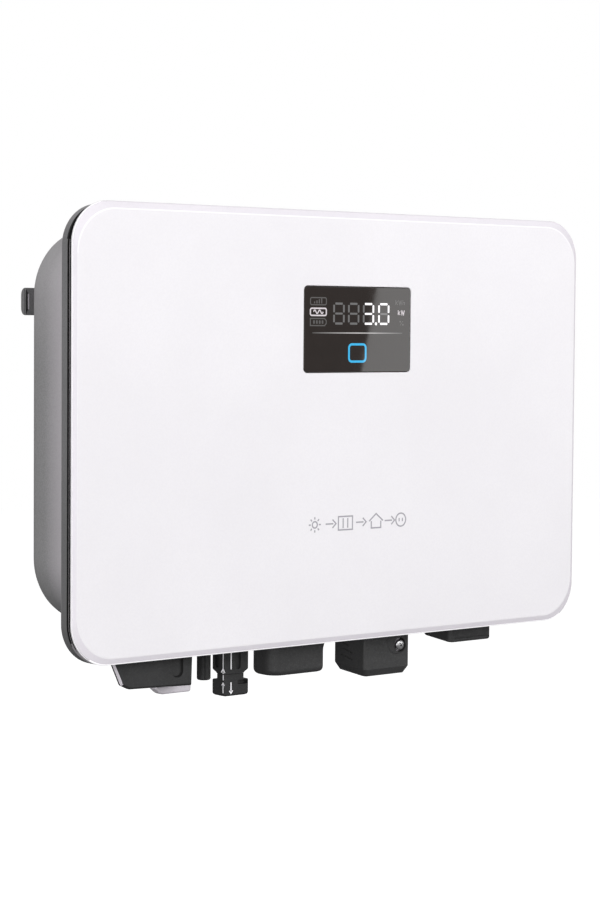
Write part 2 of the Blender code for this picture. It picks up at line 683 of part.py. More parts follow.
def make_pv_connectors():
    """The two panel connectors with the nuts that hold them in the tub."""
    nut_outer = 0.0095
    nut_bottom = FLOOR_Z + GAP
    nut_top = nut_bottom + 0.005
    make_positive_socket(nut_top)
    make_dust_plug()
    make_negative_socket(nut_top)
    for name, x in (("pv_positive_nut", PV_SOCKET_X), ("pv_negative_nut", PV_PIN_X)):
        place = {"location": (x, PV_DEPTH - BODY_DEPTH, 0)}
        nut = add_part(name, "black_plastic", prism(circle(0, 0, nut_outer, 6), nut_bottom, nut_top), **place)
        bore = circle(0, 0, PV_BARREL_RADIUS + GAP, 16)
        cut(nut, prism(bore, nut_bottom - 0.001, nut_top + 0.001), **place)
    return [circle(x, PV_DEPTH, PV_BARREL_RADIUS + GAP, 16) for x in (PV_SOCKET_X, PV_PIN_X)]


def hollow_cover(name, size, radii, edge, steps):
    """A plastic box open at the top. Its lower edge is cut off by a width and a height, in steps."""
    left, right, front, rear, bottom = size
    edge_width, edge_height = edge

    def outline(inset):
        lessened = tuple(max(radius - inset, COVER_LEAST_RADIUS) for radius in radii)
        return plan(rectangle(left + inset, right - inset, front + inset, rear - inset, lessened))

    sections = []
    for step in range(steps + 1):
        turn = step / steps * math.pi / 2
        inset = edge_width * (1 - math.sin(turn))
        sections.append((outline(inset), bottom + edge_height * (1 - math.cos(turn))))
    sections.append((outline(0), UNDER_Z))
    sections.append((outline(COVER_WALL), UNDER_Z))
    sections.append((outline(COVER_WALL), bottom + edge_height + COVER_WALL / 2))
    sections.append((outline(edge_width / 2 + COVER_WALL), bottom + COVER_WALL))
    return add_part(name, "black_plastic", loft(sections))


def make_bung(name, cover, x, distance, radius, floor_z):
    """A rubber bung that closes a cable entry in a cover's floor, with a lip on the inside."""
    y = distance - BODY_DEPTH
    lip = 0.0012
    lip_height = 0.0016
    edge = 0.0008
    low = floor_z + 0.0002
    top = floor_z + COVER_WALL + GAP
    profile = [
        (0, low),
        (radius - edge, low),
        (radius, low + edge),
        (radius, top),
        (radius + lip, top),
        (radius + lip, top + lip_height),
        (0, top + lip_height),
    ]
    add_part(name, "black_rubber", turned(profile[::-1], 16), location=(x, y, 0))
    cut(cover, prism(circle(x, y, radius + GAP, 16), floor_z - 0.001, floor_z + COVER_WALL + 0.001))


def make_com_port():
    """The communication cover with its bung, and the socket that it protects."""
    left_radius = 0.0070
    right_radius = 0.0020
    radii = (right_radius, left_radius, left_radius, right_radius)
    cover = hollow_cover("com_cover", COM_COVER, radii, (0.0032, 0.0032), 2)
    middle = (COM_COVER[0] + COM_COVER[1]) / 2
    distance = (COM_COVER[2] + COM_COVER[3]) / 2
    make_bung("com_bung", cover, middle, distance, 0.0065, COM_COVER[4])
    half_width = 0.011
    half_depth = 0.007
    x_range = (middle - half_width, middle + half_width)
    depth_range = (distance - half_depth, distance + half_depth)
    block("com_socket", "black_plastic", x_range, depth_range, (-0.213, -0.170), 0.001)
    return rectangle(x_range[0] - GAP, x_range[1] + GAP, depth_range[0] - GAP, depth_range[1] + GAP)


def make_ac_port():
    """The grid connector's cover with its screw and bung, and the terminal block inside."""
    left, right, front, rear, bottom = AC_COVER
    cover = hollow_cover("ac_cover", AC_COVER, (0.0012,) * 4, (0.0024, 0.0049), 1)
    make_bung("ac_bung", cover, (left + right) / 2, (front + rear) / 2, 0.0085, bottom)
    x_range = (left + 0.0045, right - 0.0030)
    depth_range = (front + 0.0050, rear - 0.0060)
    terminals = block("ac_terminal_block", "light_plastic", x_range, depth_range, (-0.2275, -0.172), 0.001)

    head = 0.0040
    shank = 0.0020
    tip = front + 0.014
    seat = front + 0.0010
    head_room = head + 0.001
    recess = prism(circle(AC_SCREW_X, AC_SCREW_Z, head_room, 16), -seat, -front + 0.001)
    cut(cover, recess, **frontal())
    hole = circle(AC_SCREW_X, AC_SCREW_Z, shank + GAP, 12)
    cut(cover, prism(hole, -front - COVER_WALL - 0.001, -front + 0.001), **frontal())
    cut(terminals, prism(hole, -tip - 0.001, -depth_range[0] + 0.001), **frontal())
    head_rear = seat - GAP
    head_front = head_rear - 0.0022
    edge = 0.0009
    profile = [
        (0, -head_front),
        (head * 0.6, -head_front),
        (head, -head_front - edge),
        (head, -head_rear),
        (shank, -head_rear),
        (shank, -tip),
        (0, -tip),
    ]
    add_part(
        "ac_cover_screw",
        "steel",
        turned(profile, 16),
        location=(AC_SCREW_X, -BODY_DEPTH, AC_SCREW_Z),
        rotation=(math.pi / 2, 0, 0),
    )
    return rectangle(x_range[0] - GAP, x_range[1] + GAP, depth_range[0] - GAP, depth_range[1] + GAP)


def make_accessory_port():
    """The low cap over the accessory port, and the round socket behind it."""
    left, right, front, rear, bottom = ACCESSORY_CAP
    cap = hollow_cover("accessory_cap", ACCESSORY_CAP, (0.0040,) * 4, (0.0010, 0.0010), 1)
    groove_top = -0.2182
    groove_bottom = -0.2194
    groove_depth = 0.001
    groove = rectangle(left + 0.004, right + 0.001, groove_bottom, groove_top)
    cut(cap, prism(groove, -front - groove_depth, -front + 0.001), **frontal())
    tab = rectangle(right - 0.001, right + 0.0022, -0.2214, -0.2183, 0.0010, 2)
    fuse(cap, prism(tab, -front - 0.009, -front - 0.004), **frontal())
    x = (left + right) / 2
    distance = (front + rear) / 2
    radius = 0.0105
    top = FLOOR_Z + 0.012
    bottom = -0.214
    profile = [(0, top), (radius, top), (radius, bottom), (0, bottom)]
    socket = turned(profile, 20)
    add_part("accessory_socket", "black_plastic", socket, location=(x, distance - BODY_DEPTH, 0))
    return circle(x, distance, radius + GAP, 20)


def make_vent_and_earth(tub):
    """The pressure vent under the tub, and the earth screw on its right side."""
    vent_x = 0.095
    vent_depth = 0.040
    thread = 0.0045
    head = 0.0070
    edge = 0.001
    head_bottom = UNDER_Z - 0.0035
    top = FLOOR_Z + 0.002
    profile = [
        (0, top),
        (thread, top),
        (thread, UNDER_Z),
        (head, UNDER_Z),
        (head, head_bottom + edge),
        (head - edge, head_bottom),
        (0, head_bottom),
    ]
    place = {"location": (vent_x, vent_depth - BODY_DEPTH, 0)}
    add_part("pressure_vent", "black_plastic", turned(profile, 16), **place)

    side = BODY_WIDTH / 2 - TUB_INSET
    earth_depth = 0.043
    earth_z = -0.140
    head = 0.0045
    shank = 0.0025
    head_height = 0.0038
    tip = -WALL - 0.003
    # Turned about Z, then laid so that its head points out along +X.
    profile = [(0, head_height), (head, head_height), (head, GAP), (shank, GAP), (shank, tip), (0, tip)]
    place = {"location": (side, earth_depth - BODY_DEPTH, earth_z), "rotation": (0, math.pi / 2, 0)}
    add_part("earth_screw", "steel", turned(profile, 12), **place)
    cut(tub, prism(circle(0, 0, shank + GAP, 12), -WALL - 0.001, 0.001), **place)
    return circle(vent_x, vent_depth, thread + GAP, 16)


def box_part(name, finish, x_range, z_range, depth_range, radius=0.0):
    """A box drawn from the front."""
    outline = rectangle(*x_range, *z_range, radius, 2)
    return add_part(name, finish, prism(outline, -depth_range[1], -depth_range[0]), **frontal())


def make_electronics():
    """The boards and the large components inside the tub."""
    floor = TUB_REAR - WALL
    board_front = 0.0580
    board_rear = board_front + 0.0016
    part_rear = board_front - GAP
    board_range = (board_front, board_rear)
    box_part("main_board", "circuit_board", (-0.168, 0.168), (-0.144, 0.026), board_range, 0.008)
    box_part("control_board", "circuit_board", (-0.065, 0.055), (-0.140, -0.078), (0.0125, 0.0141))
    box_part("thermal_pad", "grey_pad", (-0.042, 0.042), (-0.072, -0.018), (floor - 0.001, floor - GAP))
    module_range = (board_rear + GAP, floor - 0.001 - GAP)
    box_part("power_module", "black_plastic", (-0.040, 0.040), (-0.070, -0.020), module_range)

    radius = 0.0032
    number = 0
    for x in (-0.155, 0.155):
        for z in (-0.132, 0.012):
            number += 1
            profile = [
                (0, -board_rear - GAP),
                (radius, -board_rear - GAP),
                (radius, -floor + GAP),
                (0, -floor + GAP),
            ]
            place = {"location": (x, -BODY_DEPTH, z), "rotation": (math.pi / 2, 0, 0)}
            add_part(f"board_standoff_{number}", "steel", turned(profile, 8), **place)

    radius = 0.015
    edge = 0.001
    front = 0.020
    number = 0
    for x in (-0.135, -0.100):
        for z in (-0.060, -0.025):
            number += 1
            profile = [
                (0, -front),
                (radius - edge, -front),
                (radius, -front - edge),
                (radius, -part_rear),
                (0, -part_rear),
            ]
            place = {"location": (x, -BODY_DEPTH, z), "rotation": (math.pi / 2, 0, 0)}
            add_part(f"dc_link_capacitor_{number}", "black_plastic", turned(profile, 16), **place)

    box_part("boost_inductor", "copper", (0.072, 0.130), (-0.046, 0.004), (0.022, part_rear), 0.005)
    box_part("filter_inductor", "copper", (0.072, 0.130), (-0.108, -0.056), (0.022, part_rear), 0.005)
    outer = 0.018
    inner = 0.009
    front = 0.040
    coil = [(inner, -part_rear), (outer, -part_rear), (outer, -front), (inner, -front)]
    add_part(
        "emi_choke",
        "copper",
        turned(coil, 16, ring=True),
        location=(0.030, -BODY_DEPTH, -0.112),
        rotation=(math.pi / 2, 0, 0),
    )
    relay_width = 0.029
    for number, left in enumerate((-0.075, -0.040), 1):
        x_range = (left, left + relay_width)
        box_part(f"grid_relay_{number}", "black_plastic", x_range, (-0.118, -0.104), (0.034, part_rear))


def main():
    for obj in list(bpy.data.objects):
        bpy.data.objects.remove(obj)
    lid = make_front()
    tub = make_housing()
    make_lid_screws(tub, lid)
    make_hanger(make_heat_sink())
    make_guard()
    openings = [make_switch(), *make_pv_connectors(), make_com_port(), make_ac_port(), make_accessory_port()]
    openings.append(make_vent_and_earth(tub))
    drill_tub(tub, openings)
    make_electronics()


main()
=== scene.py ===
"""The looks of a wall-hung string inverter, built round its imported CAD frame.

Lengths are in metres in the frame's axes: +X right as seen from the front, +Y into the wall, +Z up. A
depth is a distance back from the flat front of the front cover.
"""

import math

import bmesh
import bpy
from mathutils import Matrix, Vector


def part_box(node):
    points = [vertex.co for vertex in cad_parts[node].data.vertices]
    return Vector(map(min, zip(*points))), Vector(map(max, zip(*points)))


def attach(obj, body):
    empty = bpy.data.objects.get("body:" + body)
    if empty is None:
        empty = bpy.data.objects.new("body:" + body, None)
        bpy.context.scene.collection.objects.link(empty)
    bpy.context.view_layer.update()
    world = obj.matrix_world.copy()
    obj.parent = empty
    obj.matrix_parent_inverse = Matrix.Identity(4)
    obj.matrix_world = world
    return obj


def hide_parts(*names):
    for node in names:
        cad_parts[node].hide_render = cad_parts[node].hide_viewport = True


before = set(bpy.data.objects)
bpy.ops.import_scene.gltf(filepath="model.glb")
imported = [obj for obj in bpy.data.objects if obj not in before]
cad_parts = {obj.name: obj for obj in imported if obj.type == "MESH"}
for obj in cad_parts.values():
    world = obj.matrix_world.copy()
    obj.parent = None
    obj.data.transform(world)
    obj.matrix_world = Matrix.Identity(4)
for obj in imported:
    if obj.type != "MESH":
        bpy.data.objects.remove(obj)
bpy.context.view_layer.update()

FRONT_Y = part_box("front_cover")[0].y
CORNER_STEPS = 20
GAP = 0.0003


# ---------------------------------------------------------------- outlines


def filleted(corners, closed=True, steps=4):
    """(u, v) points, with each corner that is given as (u, v, radius) rounded off."""
    points = []
    count = len(corners)
    for i, corner in enumerate(corners):
        here = Vector(corner[:2])
        at_end = not closed and i in (0, count - 1)
        if len(corner) < 3 or at_end:
            points.append(tuple(here))
            continue
        radius = corner[2]
        before = (Vector(corners[i - 1][:2]) - here).normalized()
        after = (Vector(corners[(i + 1) % count][:2]) - here).normalized()
        half = before.angle(after) / 2
        reach = radius / math.tan(half)
        middle = here + (before + after).normalized() * (radius / math.sin(half))
        start = here + before * reach - middle
        end = here + after * reach - middle
        turn = start.angle(end)
        for step in range(steps + 1):
            share = step / steps
            arm = start * math.sin((1 - share) * turn) + end * math.sin(share * turn)
            points.append(tuple(middle + arm / math.sin(turn)))
    return points


def rectangle(left, right, low, high, radius=0.0, steps=CORNER_STEPS):
    """Points round a rectangle, counter-clockwise. It takes one corner radius, or four that run
    counter-clockwise from the corner at right and high."""
    if not radius:
        return [(right, high), (left, high), (left, low), (right, low)]
    radii = radius if isinstance(radius, tuple) else (radius,) * 4
    corners = ((right, high, -1, -1), (left, high, 1, -1), (left, low, 1, 1), (right, low, -1, 1))
    points = []
    for quarter, (u, v, inward_u, inward_v) in enumerate(corners):
        size = radii[quarter]
        for step in range(steps + 1):
            angle = (quarter + step / steps) * math.pi / 2
            points.append((u + size * (inward_u + math.cos(angle)), v + size * (inward_v + math.sin(angle))))
    return points


def grown(outline_of, amount):
    """A rectangle's arguments, let out by an amount on each side."""
    left, right, low, high = outline_of
    return left - amount, right + amount, low - amount, high + amount


def circle(u, v, radius, sides=32):
    turns = [2 * math.pi * side / sides for side in range(sides)]
    return [(u + radius * math.cos(turn), v + radius * math.sin(turn)) for turn in turns]


def ribbon(points, width, closed=False):
    """The outline of a line of a given width along points, or its outer and inner outline if closed."""
    count = len(points)
    left, right = [], []
    for i, point in enumerate(points):
        here = Vector(point)
        before = Vector(points[i - 1]) if closed or i > 0 else None
        after = Vector(points[(i + 1) % count]) if closed or i < count - 1 else None
        into = (here - before).normalized() if before is not None else (after - here).normalized()
        out = (after - here).normalized() if after is not None else into
        along = (into + out).normalized()
        across = Vector((-along.y, along.x))
        stretch = 1 / max(across.dot(Vector((-into.y, into.x))), 0.3)
        left.append(tuple(here + across * (width / 2 * stretch)))
        right.append(tuple(here - across * (width / 2 * stretch)))
    return (left, right) if closed else left + right[::-1]


# ---------------------------------------------------------------- solids


def frontal(u, v, depth):
    """For outlines drawn as seen from the front, at depths."""
    return u, FRONT_Y + depth, v


def upright(u, v, height):
    """For outlines drawn in X and depth, at heights."""
    return u, FRONT_Y + v, height


def sideways(u, v, x):
    """For outlines drawn in depth and Z, at values of X."""
    return x, FRONT_Y + u, v


def loft(sections, place, ring=False, bm=None):
    """A solid through outlines with equal numbers of points, each with its level. A ring closes on itself."""
    bm = bm or bmesh.new()
    rings = [[bm.verts.new(place(u, v, level)) for u, v in outline] for outline, level in sections]
    pairs = list(zip(rings, rings[1:]))
    if ring:
        pairs.append((rings[-1], rings[0]))
    for lower, upper in pairs:
        for i, corner in enumerate(lower):
            j = (i + 1) % len(lower)
            bm.faces.new((corner, lower[j], upper[j], upper[i]))
    if not ring:
        bm.faces.new(rings[0])
        bm.faces.new(rings[-1])
    return bm


def prism(outline, low, high, place, bm=None):
    return loft([(outline, low), (outline, high)], place, bm=bm)


def quarter_round(size, steps):
    """(inset, distance from the end) pairs through a rounding, from the end inwards."""
    turns = [step / steps * math.pi / 2 for step in range(steps + 1)]
    return [(size * (1 - math.sin(turn)), size * (1 - math.cos(turn))) for turn in turns]


def softened(outline_at, low, high, place, low_edge=0.0, high_edge=0.0, steps=3):
    """A prism with rounded ends. outline_at(inset) gives its outline drawn in by an inset."""
    low_end = quarter_round(low_edge, steps) if low_edge else [(0, 0)]
    high_end = quarter_round(high_edge, steps) if high_edge else [(0, 0)]
    sections = [(outline_at(inset), low + along) for inset, along in low_end]
    sections += [(outline_at(inset), high - along) for inset, along in reversed(high_end)]
    return loft(sections, place)


def turned(profile, centre, axis, sides=32):
    """A solid turned from (radius, distance) points about an axis through a centre."""
    axis = Vector(axis).normalized()
    across = axis.orthogonal().normalized()
    other = axis.cross(across)
    centre = Vector(centre)
    spokes = [2 * math.pi * side / sides for side in range(sides)]
    bm = bmesh.new()
    rings = []
    for radius, distance in profile:
        middle = centre + axis * distance
        if radius < 1e-7:
            rings.append([bm.verts.new(middle)])
            continue
        arms = [across * math.cos(turn) + other * math.sin(turn) for turn in spokes]
        rings.append([bm.verts.new(middle + arm * radius) for arm in arms])
    for lower, upper in zip(rings, rings[1:]):
        for i in range(sides):
            j = (i + 1) % sides
            if len(lower) == 1:
                bm.faces.new((lower[0], upper[j], upper[i]))
            elif len(upper) == 1:
                bm.faces.new((lower[i], lower[j], upper[0]))
            else:
                bm.faces.new((lower[i], lower[j], upper[j], upper[i]))
    return bm


def new_object(name, bm, sharp_angle=32):
    bmesh.ops.recalc_face_normals(bm, faces=bm.faces[:])
    mesh = bpy.data.meshes.new(name)
    bm.to_mesh(mesh)
    bm.free()
    mesh.shade_smooth()
    mesh.set_sharp_from_angle(angle=math.radians(sharp_angle))
    obj = bpy.data.objects.new(name, mesh)
    bpy.context.scene.collection.objects.link(obj)
    return obj


def shape(obj, tools, operation="DIFFERENCE", sharp_angle=32):
    """Cuts, adds or keeps what is common with each tool's solid, and leaves a plain mesh."""
    helpers = [new_object("tool", bm) for bm in tools]
    for helper in helpers:
        modifier = obj.modifiers.new("shape", "BOOLEAN")
        modifier.operation = operation
        modifier.object = helper
        modifier.solver = "EXACT"
    bpy.context.view_layer.update()
    graph = bpy.context.evaluated_depsgraph_get()
    mesh = bpy.data.meshes.new_from_object(obj.evaluated_get(graph))
    obj.modifiers.clear()
    obj.data = mesh
    for helper in helpers:
        bpy.data.objects.remove(helper)
    bm = bmesh.new()
    bm.from_mesh(mesh)
    bmesh.ops.remove_doubles(bm, verts=bm.verts[:], dist=1e-6)
    bmesh.ops.dissolve_degenerate(bm, edges=bm.edges[:], dist=1e-7)
    bm.to_mesh(mesh)
    bm.free()
    mesh.shade_smooth()
    mesh.set_sharp_from_angle(angle=math.radians(sharp_angle))
    return obj


def piece(obj, material, slot, *nodes, body="casing"):
    """Finishes a piece: its material, the body it moves with and the CAD nodes it stands for. The slot
    argument is not used.
    """
    obj.data.materials.clear()
    obj.data.materials.append(material)
    # Large flat faces keep their own normals next to rounded edges.
    weighted = obj.modifiers.new("normals", "WEIGHTED_NORMAL")
    weighted.mode = "FACE_AREA"
    weighted.weight = 50
    weighted.keep_sharp = True
    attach(obj, body)
    if nodes:
        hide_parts(*nodes)
    return obj


def repaint(obj, extra, choose):
    """Adds materials to a piece. choose(face, depth) returns the number of a face's material."""
    for material in extra:
        obj.data.materials.append(material)
    for face in obj.data.polygons:
        face.material_index = choose(face, face.center.y - FRONT_Y)


def raise_rear(obj, node, rise):
    """Lifts a port cover's underside, more and more towards its rear."""
    _, _, near, far, low, high = span(node)
    for vertex in obj.data.vertices:
        back = (vertex.co.y - FRONT_Y - near) / (far - near)
        down = (high - vertex.co.z) / (high - low)
        vertex.co.z += rise * max(0.0, back) * max(0.0, down)


def span(node):
    """A CAD node's left, right, front depth, rear depth, bottom and top."""
    low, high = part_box(node)
    return low.x, high.x, low.y - FRONT_Y, high.y - FRONT_Y, low.z, high.z


def axis_of(node):
    """Where an upright node's axis is, in X and depth."""
    left, right, near, far, _, _ = span(node)
    return (left + right) / 2, (near + far) / 2


def middle_of(node):
    """Where a node's middle is as seen from the front, in X and Z."""
    left, right, _, _, low, high = span(node)
    return (left + right) / 2, (low + high) / 2


# ---------------------------------------------------------------- materials


class Shader:
    """A Principled material whose colour, roughness and relief come from procedural textures."""

    def __init__(self, name, colour, roughness, metallic=0.0):
        self.material = bpy.data.materials.new(name)
        self.material.use_nodes = True
        self.tree = self.material.node_tree
        self.surface = self.tree.nodes["Principled BSDF"]
        self.surface.inputs["Base Color"].default_value = (*colour, 1)
        self.surface.inputs["Roughness"].default_value = roughness
        self.surface.inputs["Metallic"].default_value = metallic
        self.colour = colour
        self.height = None

    def node(self, kind, **inputs):
        made = self.tree.nodes.new(kind)
        for key, value in inputs.items():
            made.inputs[key.replace("_", " ")].default_value = value
        return made

    def link(self, output, target):
        self.tree.links.new(output, target)

    def coordinates(self, stretch=(1, 1, 1)):
        source = self.tree.nodes.new("ShaderNodeTexCoord")
        mapping = self.tree.nodes.new("ShaderNodeMapping")
        mapping.inputs["Scale"].default_value = stretch
        self.link(source.outputs["Object"], mapping.inputs["Vector"])
        return mapping.outputs["Vector"]

    def position(self):
        """The object coordinates, each on its own output."""
        place = self.tree.nodes.new("ShaderNodeSeparateXYZ")
        self.link(self.coordinates(), place.inputs["Vector"])
        return place.outputs

    def noise(self, scale, detail=2.0, stretch=(1, 1, 1), roughness=0.55):
        texture = self.node("ShaderNodeTexNoise", Scale=scale, Detail=detail, Roughness=roughness)
        self.link(self.coordinates(stretch), texture.inputs["Vector"])
        return texture.outputs["Fac"]

    def ramp(self, value, low, high, first, last):
        """Maps a range of values to another, clamped."""
        mapped = self.tree.nodes.new("ShaderNodeMapRange")
        mapped.inputs["From Min"].default_value = low
        mapped.inputs["From Max"].default_value = high
        mapped.inputs["To Min"].default_value = first
        mapped.inputs["To Max"].default_value = last
        self.link(value, mapped.inputs["Value"])
        return mapped.outputs["Result"]

    def tint(self, factor, colour):
        """Mixes another colour over the present one by a factor."""
        mix = self.tree.nodes.new("ShaderNodeMix")
        mix.data_type = "RGBA"
        base = self.surface.inputs["Base Color"]
        if base.is_linked:
            self.link(base.links[0].from_socket, mix.inputs[6])
        else:
            mix.inputs[6].default_value = base.default_value
        mix.inputs[7].default_value = (*colour, 1)
        self.link(factor, mix.inputs[0])
        self.link(mix.outputs[2], base)
        return self

    def mottled(self, colour, scale, amount=1.0, low=0.35, high=0.65, stretch=(1, 1, 1), detail=3.0):
        return self.tint(self.ramp(self.noise(scale, detail, stretch), low, high, 0, amount), colour)

    def rough(self, scale, first, last, stretch=(1, 1, 1)):
        value = self.ramp(self.noise(scale, 2, stretch), 0.3, 0.7, first, last)
        self.link(value, self.surface.inputs["Roughness"])
        return self

    def relief(self, scale, depth, strength=1.0, stretch=(1, 1, 1), detail=2.0):
        """A grain whose depth is in metres. Several of them add up."""
        bump = self.node("ShaderNodeBump", Strength=strength, Distance=depth)
        self.link(self.noise(scale, detail, stretch), bump.inputs["Height"])
        if self.height is not None:
            self.link(self.height, bump.inputs["Normal"])
        self.height = bump.outputs["Normal"]
        self.link(self.height, self.surface.inputs["Normal"])
        return self

    def set(self, **inputs):
        for key, value in inputs.items():
            self.surface.inputs[key.replace("_", " ")].default_value = value
        return self

    def glow(self, colour, strength):
        self.surface.inputs["Emission Color"].default_value = (*colour, 1)
        self.surface.inputs["Emission Strength"].default_value = strength
        return self


def white_coat():
    shader = Shader("white_powder_coat", (0.79, 0.772, 0.80), 0.42)
    shader.mottled((0.83, 0.812, 0.84), 9, 0.8).mottled((0.74, 0.72, 0.75), 850, 0.22, detail=1)
    return shader.rough(300, 0.38, 0.50).relief(520, 0.00005, 0.35).relief(1500, 0.00003, 0.3).material


# Painted highlight: a brighter coat with a faint glow for the front cover's rim.
def rim_highlight_coat():
    shader = Shader("white_coat_painted_rim_highlight", (0.90, 0.888, 0.905), 0.34)
    shader.mottled((0.86, 0.85, 0.87), 700, 0.6)
    return shader.rough(300, 0.30, 0.40).relief(900, 0.00003, 0.3).glow((1.0, 0.985, 1.0), 0.40).material


# Painted highlight: a lighter coat with a faint glow for the front cover's upper crease.
def crease_highlight_coat():
    shader = Shader("white_coat_painted_crease_highlight", (0.82, 0.805, 0.83), 0.40)
    shader.mottled((0.86, 0.85, 0.87), 30, 0.6).mottled((0.80, 0.79, 0.81), 900, 0.3, detail=1)
    return shader.rough(300, 0.36, 0.46).relief(700, 0.00004, 0.3).glow((1.0, 0.99, 1.0), 0.05).material


# Painted shade: a darker coat for the front cover's chamfer.
def chamfer_shade_coat():
    shader = Shader("white_coat_painted_chamfer_shade", (0.71, 0.68, 0.725), 0.42)
    shader.mottled((0.74, 0.71, 0.755), 12, 0.7).mottled((0.66, 0.63, 0.675), 850, 0.22, detail=1)
    return shader.rough(300, 0.38, 0.50).relief(520, 0.00005, 0.35).material


def grey_coat():
    shader = Shader("grey_powder_coat_painted_shading", (0.300, 0.294, 0.300), 0.52)
    shader.mottled((0.345, 0.335, 0.350), 14, 0.6)
    shader.mottled((0.185, 0.183, 0.187), 900, 0.5, 0.42, 0.62, detail=1)
    shader.mottled((0.43, 0.42, 0.44), 1250, 0.45, 0.50, 0.66, detail=1)
    place = shader.position()
    walls = FRONT_Y + 0.038
    walls_rear = walls + 0.035
    # Painted shade and light: the coat is painted darker towards the rear of the tub and its foot, and
    # lighter towards its top and its flange, where light falls.
    shader.tint(shader.ramp(place["Y"], walls - 0.010, walls_rear, 0.0, 0.80), (0.165, 0.165, 0.165))
    shader.tint(shader.ramp(place["Z"], -0.04, 0.045, 0.0, 0.40), (0.50, 0.475, 0.50))
    shader.tint(shader.ramp(place["Z"], -0.19, -0.06, 0.25, 0.0), (0.17, 0.17, 0.17))
    shader.tint(shader.ramp(place["Y"], walls, walls + 0.018, 0.80, 0.0), (0.41, 0.385, 0.41))
    return shader.rough(260, 0.42, 0.60).relief(700, 0.00012, 0.55).relief(1900, 0.00005, 0.45).material


def dark_grey_coat_painted_shading():
    shader = Shader("dark_grey_coat_painted_shading", (0.150, 0.148, 0.152), 0.55)
    shader.mottled((0.185, 0.182, 0.188), 20, 0.6)
    shader.mottled((0.10, 0.10, 0.102), 1000, 0.4, 0.42, 0.62, detail=1)
    height = shader.position()["Z"]
    # Painted light and shade: it is painted lighter along the top edge, where light falls, and darker towards
    # the bottom.
    shader.tint(shader.ramp(height, 0.040, 0.056, 0.0, 0.7), (0.32, 0.31, 0.32))
    shader.tint(shader.ramp(height, -0.20, -0.06, 0.6, 0.0), (0.09, 0.09, 0.09))
    return shader.rough(260, 0.48, 0.64).relief(800, 0.00010, 0.5).material


def grained_plastic(name, colour, patches, specks):
    shader = Shader(name, colour, 0.55)
    shader.mottled(patches, 40, 0.7).mottled(specks, 1500, 0.5, 0.50, 0.70, detail=1)
    return shader.set(Specular_IOR_Level=0.4).rough(500, 0.48, 0.66).relief(1300, 0.00008, 0.45).material


def charcoal_plastic():
    colours = (0.030, 0.030, 0.0305), (0.038, 0.038, 0.0385), (0.062, 0.062, 0.063)
    return grained_plastic("charcoal_grained_plastic", *colours)


def black_plastic():
    colours = (0.017, 0.017, 0.0175), (0.027, 0.027, 0.0275), (0.044, 0.044, 0.045)
    return grained_plastic("black_grained_plastic", *colours)


def light_plastic():
    shader = Shader("light_grey_plastic", (0.63, 0.595, 0.64), 0.45)
    shader.mottled((0.68, 0.65, 0.69), 60, 0.6).mottled((0.48, 0.45, 0.49), 1400, 0.3, detail=1)
    return shader.rough(500, 0.38, 0.52).relief(1200, 0.00005, 0.4).material


def smoked_pane():
    shader = Shader("smoked_pane", (0.0135, 0.0085, 0.0065), 0.03)
    shader.mottled((0.016, 0.0105, 0.0085), 120, 0.8).mottled((0.022, 0.016, 0.013), 2200, 0.35, 0.55, 0.7)
    return shader.rough(60, 0.018, 0.035).material


def extruded_aluminium():
    shader = Shader("extruded_aluminium", (0.50, 0.50, 0.51), 0.42, 1.0)
    along = (1, 1, 0.02)
    shader.mottled((0.60, 0.60, 0.61), 900, 0.7, stretch=along).mottled((0.40, 0.40, 0.415), 18, 0.5)
    shader.rough(700, 0.34, 0.52, along).relief(1500, 0.00006, 0.5, along)
    return shader.relief(900, 0.00004, 0.35).material


def zinc_sheet():
    shader = Shader("zinc_plated_steel", (0.56, 0.56, 0.57), 0.36, 1.0)
    across = (0.03, 1, 1)
    shader.mottled((0.66, 0.67, 0.69), 30, 0.8).mottled((0.42, 0.42, 0.44), 1200, 0.5, stretch=across)
    return shader.rough(45, 0.26, 0.46).relief(1300, 0.00004, 0.4, across).material


def screw_steel():
    shader = Shader("screw_steel", (0.60, 0.60, 0.61), 0.30, 1.0)
    shader.mottled((0.46, 0.46, 0.47), 700, 0.6)
    return shader.rough(900, 0.22, 0.40).relief(2500, 0.00003, 0.4).material


def black_rubber():
    shader = Shader("black_rubber", (0.010, 0.010, 0.010), 0.78)
    shader.mottled((0.018, 0.018, 0.0185), 220, 0.7)
    return shader.set(Specular_IOR_Level=0.2).rough(400, 0.68, 0.86).relief(900, 0.00006, 0.5).material


def circuit_board():
    shader = Shader("circuit_board", (0.012, 0.085, 0.035), 0.42)
    shader.mottled((0.020, 0.150, 0.065), 260, 0.9, 0.49, 0.52, (1, 1, 0.15))
    shader.mottled((0.35, 0.28, 0.12), 700, 0.8, 0.66, 0.69, detail=0)
    return shader.rough(300, 0.34, 0.52).relief(600, 0.00004, 0.5).material


def copper_winding():
    shader = Shader("copper_winding", (0.62, 0.27, 0.13), 0.36, 1.0)
    rows = (1, 1, 40)
    shader.mottled((0.36, 0.14, 0.07), 28, 0.9, 0.42, 0.58, rows)
    return shader.rough(300, 0.28, 0.46).relief(28, 0.0004, 0.7, rows).material


def gap_pad():
    shader = Shader("gap_pad", (0.27, 0.31, 0.35), 0.74)
    shader.mottled((0.34, 0.38, 0.42), 500, 0.8)
    return shader.rough(300, 0.66, 0.82).relief(900, 0.00008, 0.5).material


def light_guide():
    shader = Shader("light_guide", (0.030, 0.330, 0.620), 0.36)
    shader.mottled((0.050, 0.440, 0.760), 400, 0.7)
    return shader.rough(300, 0.28, 0.44).relief(1400, 0.00003, 0.4).material


def print_ink(name, colour, spread, glow=0.0):
    shader = Shader(name, colour, 0.45).glow((1, 1, 1), glow)
    shader.mottled(tuple(channel * spread for channel in colour), 1500, 0.8)
    return shader.rough(900, 0.38, 0.55).relief(1800, 0.00001, 0.3).material


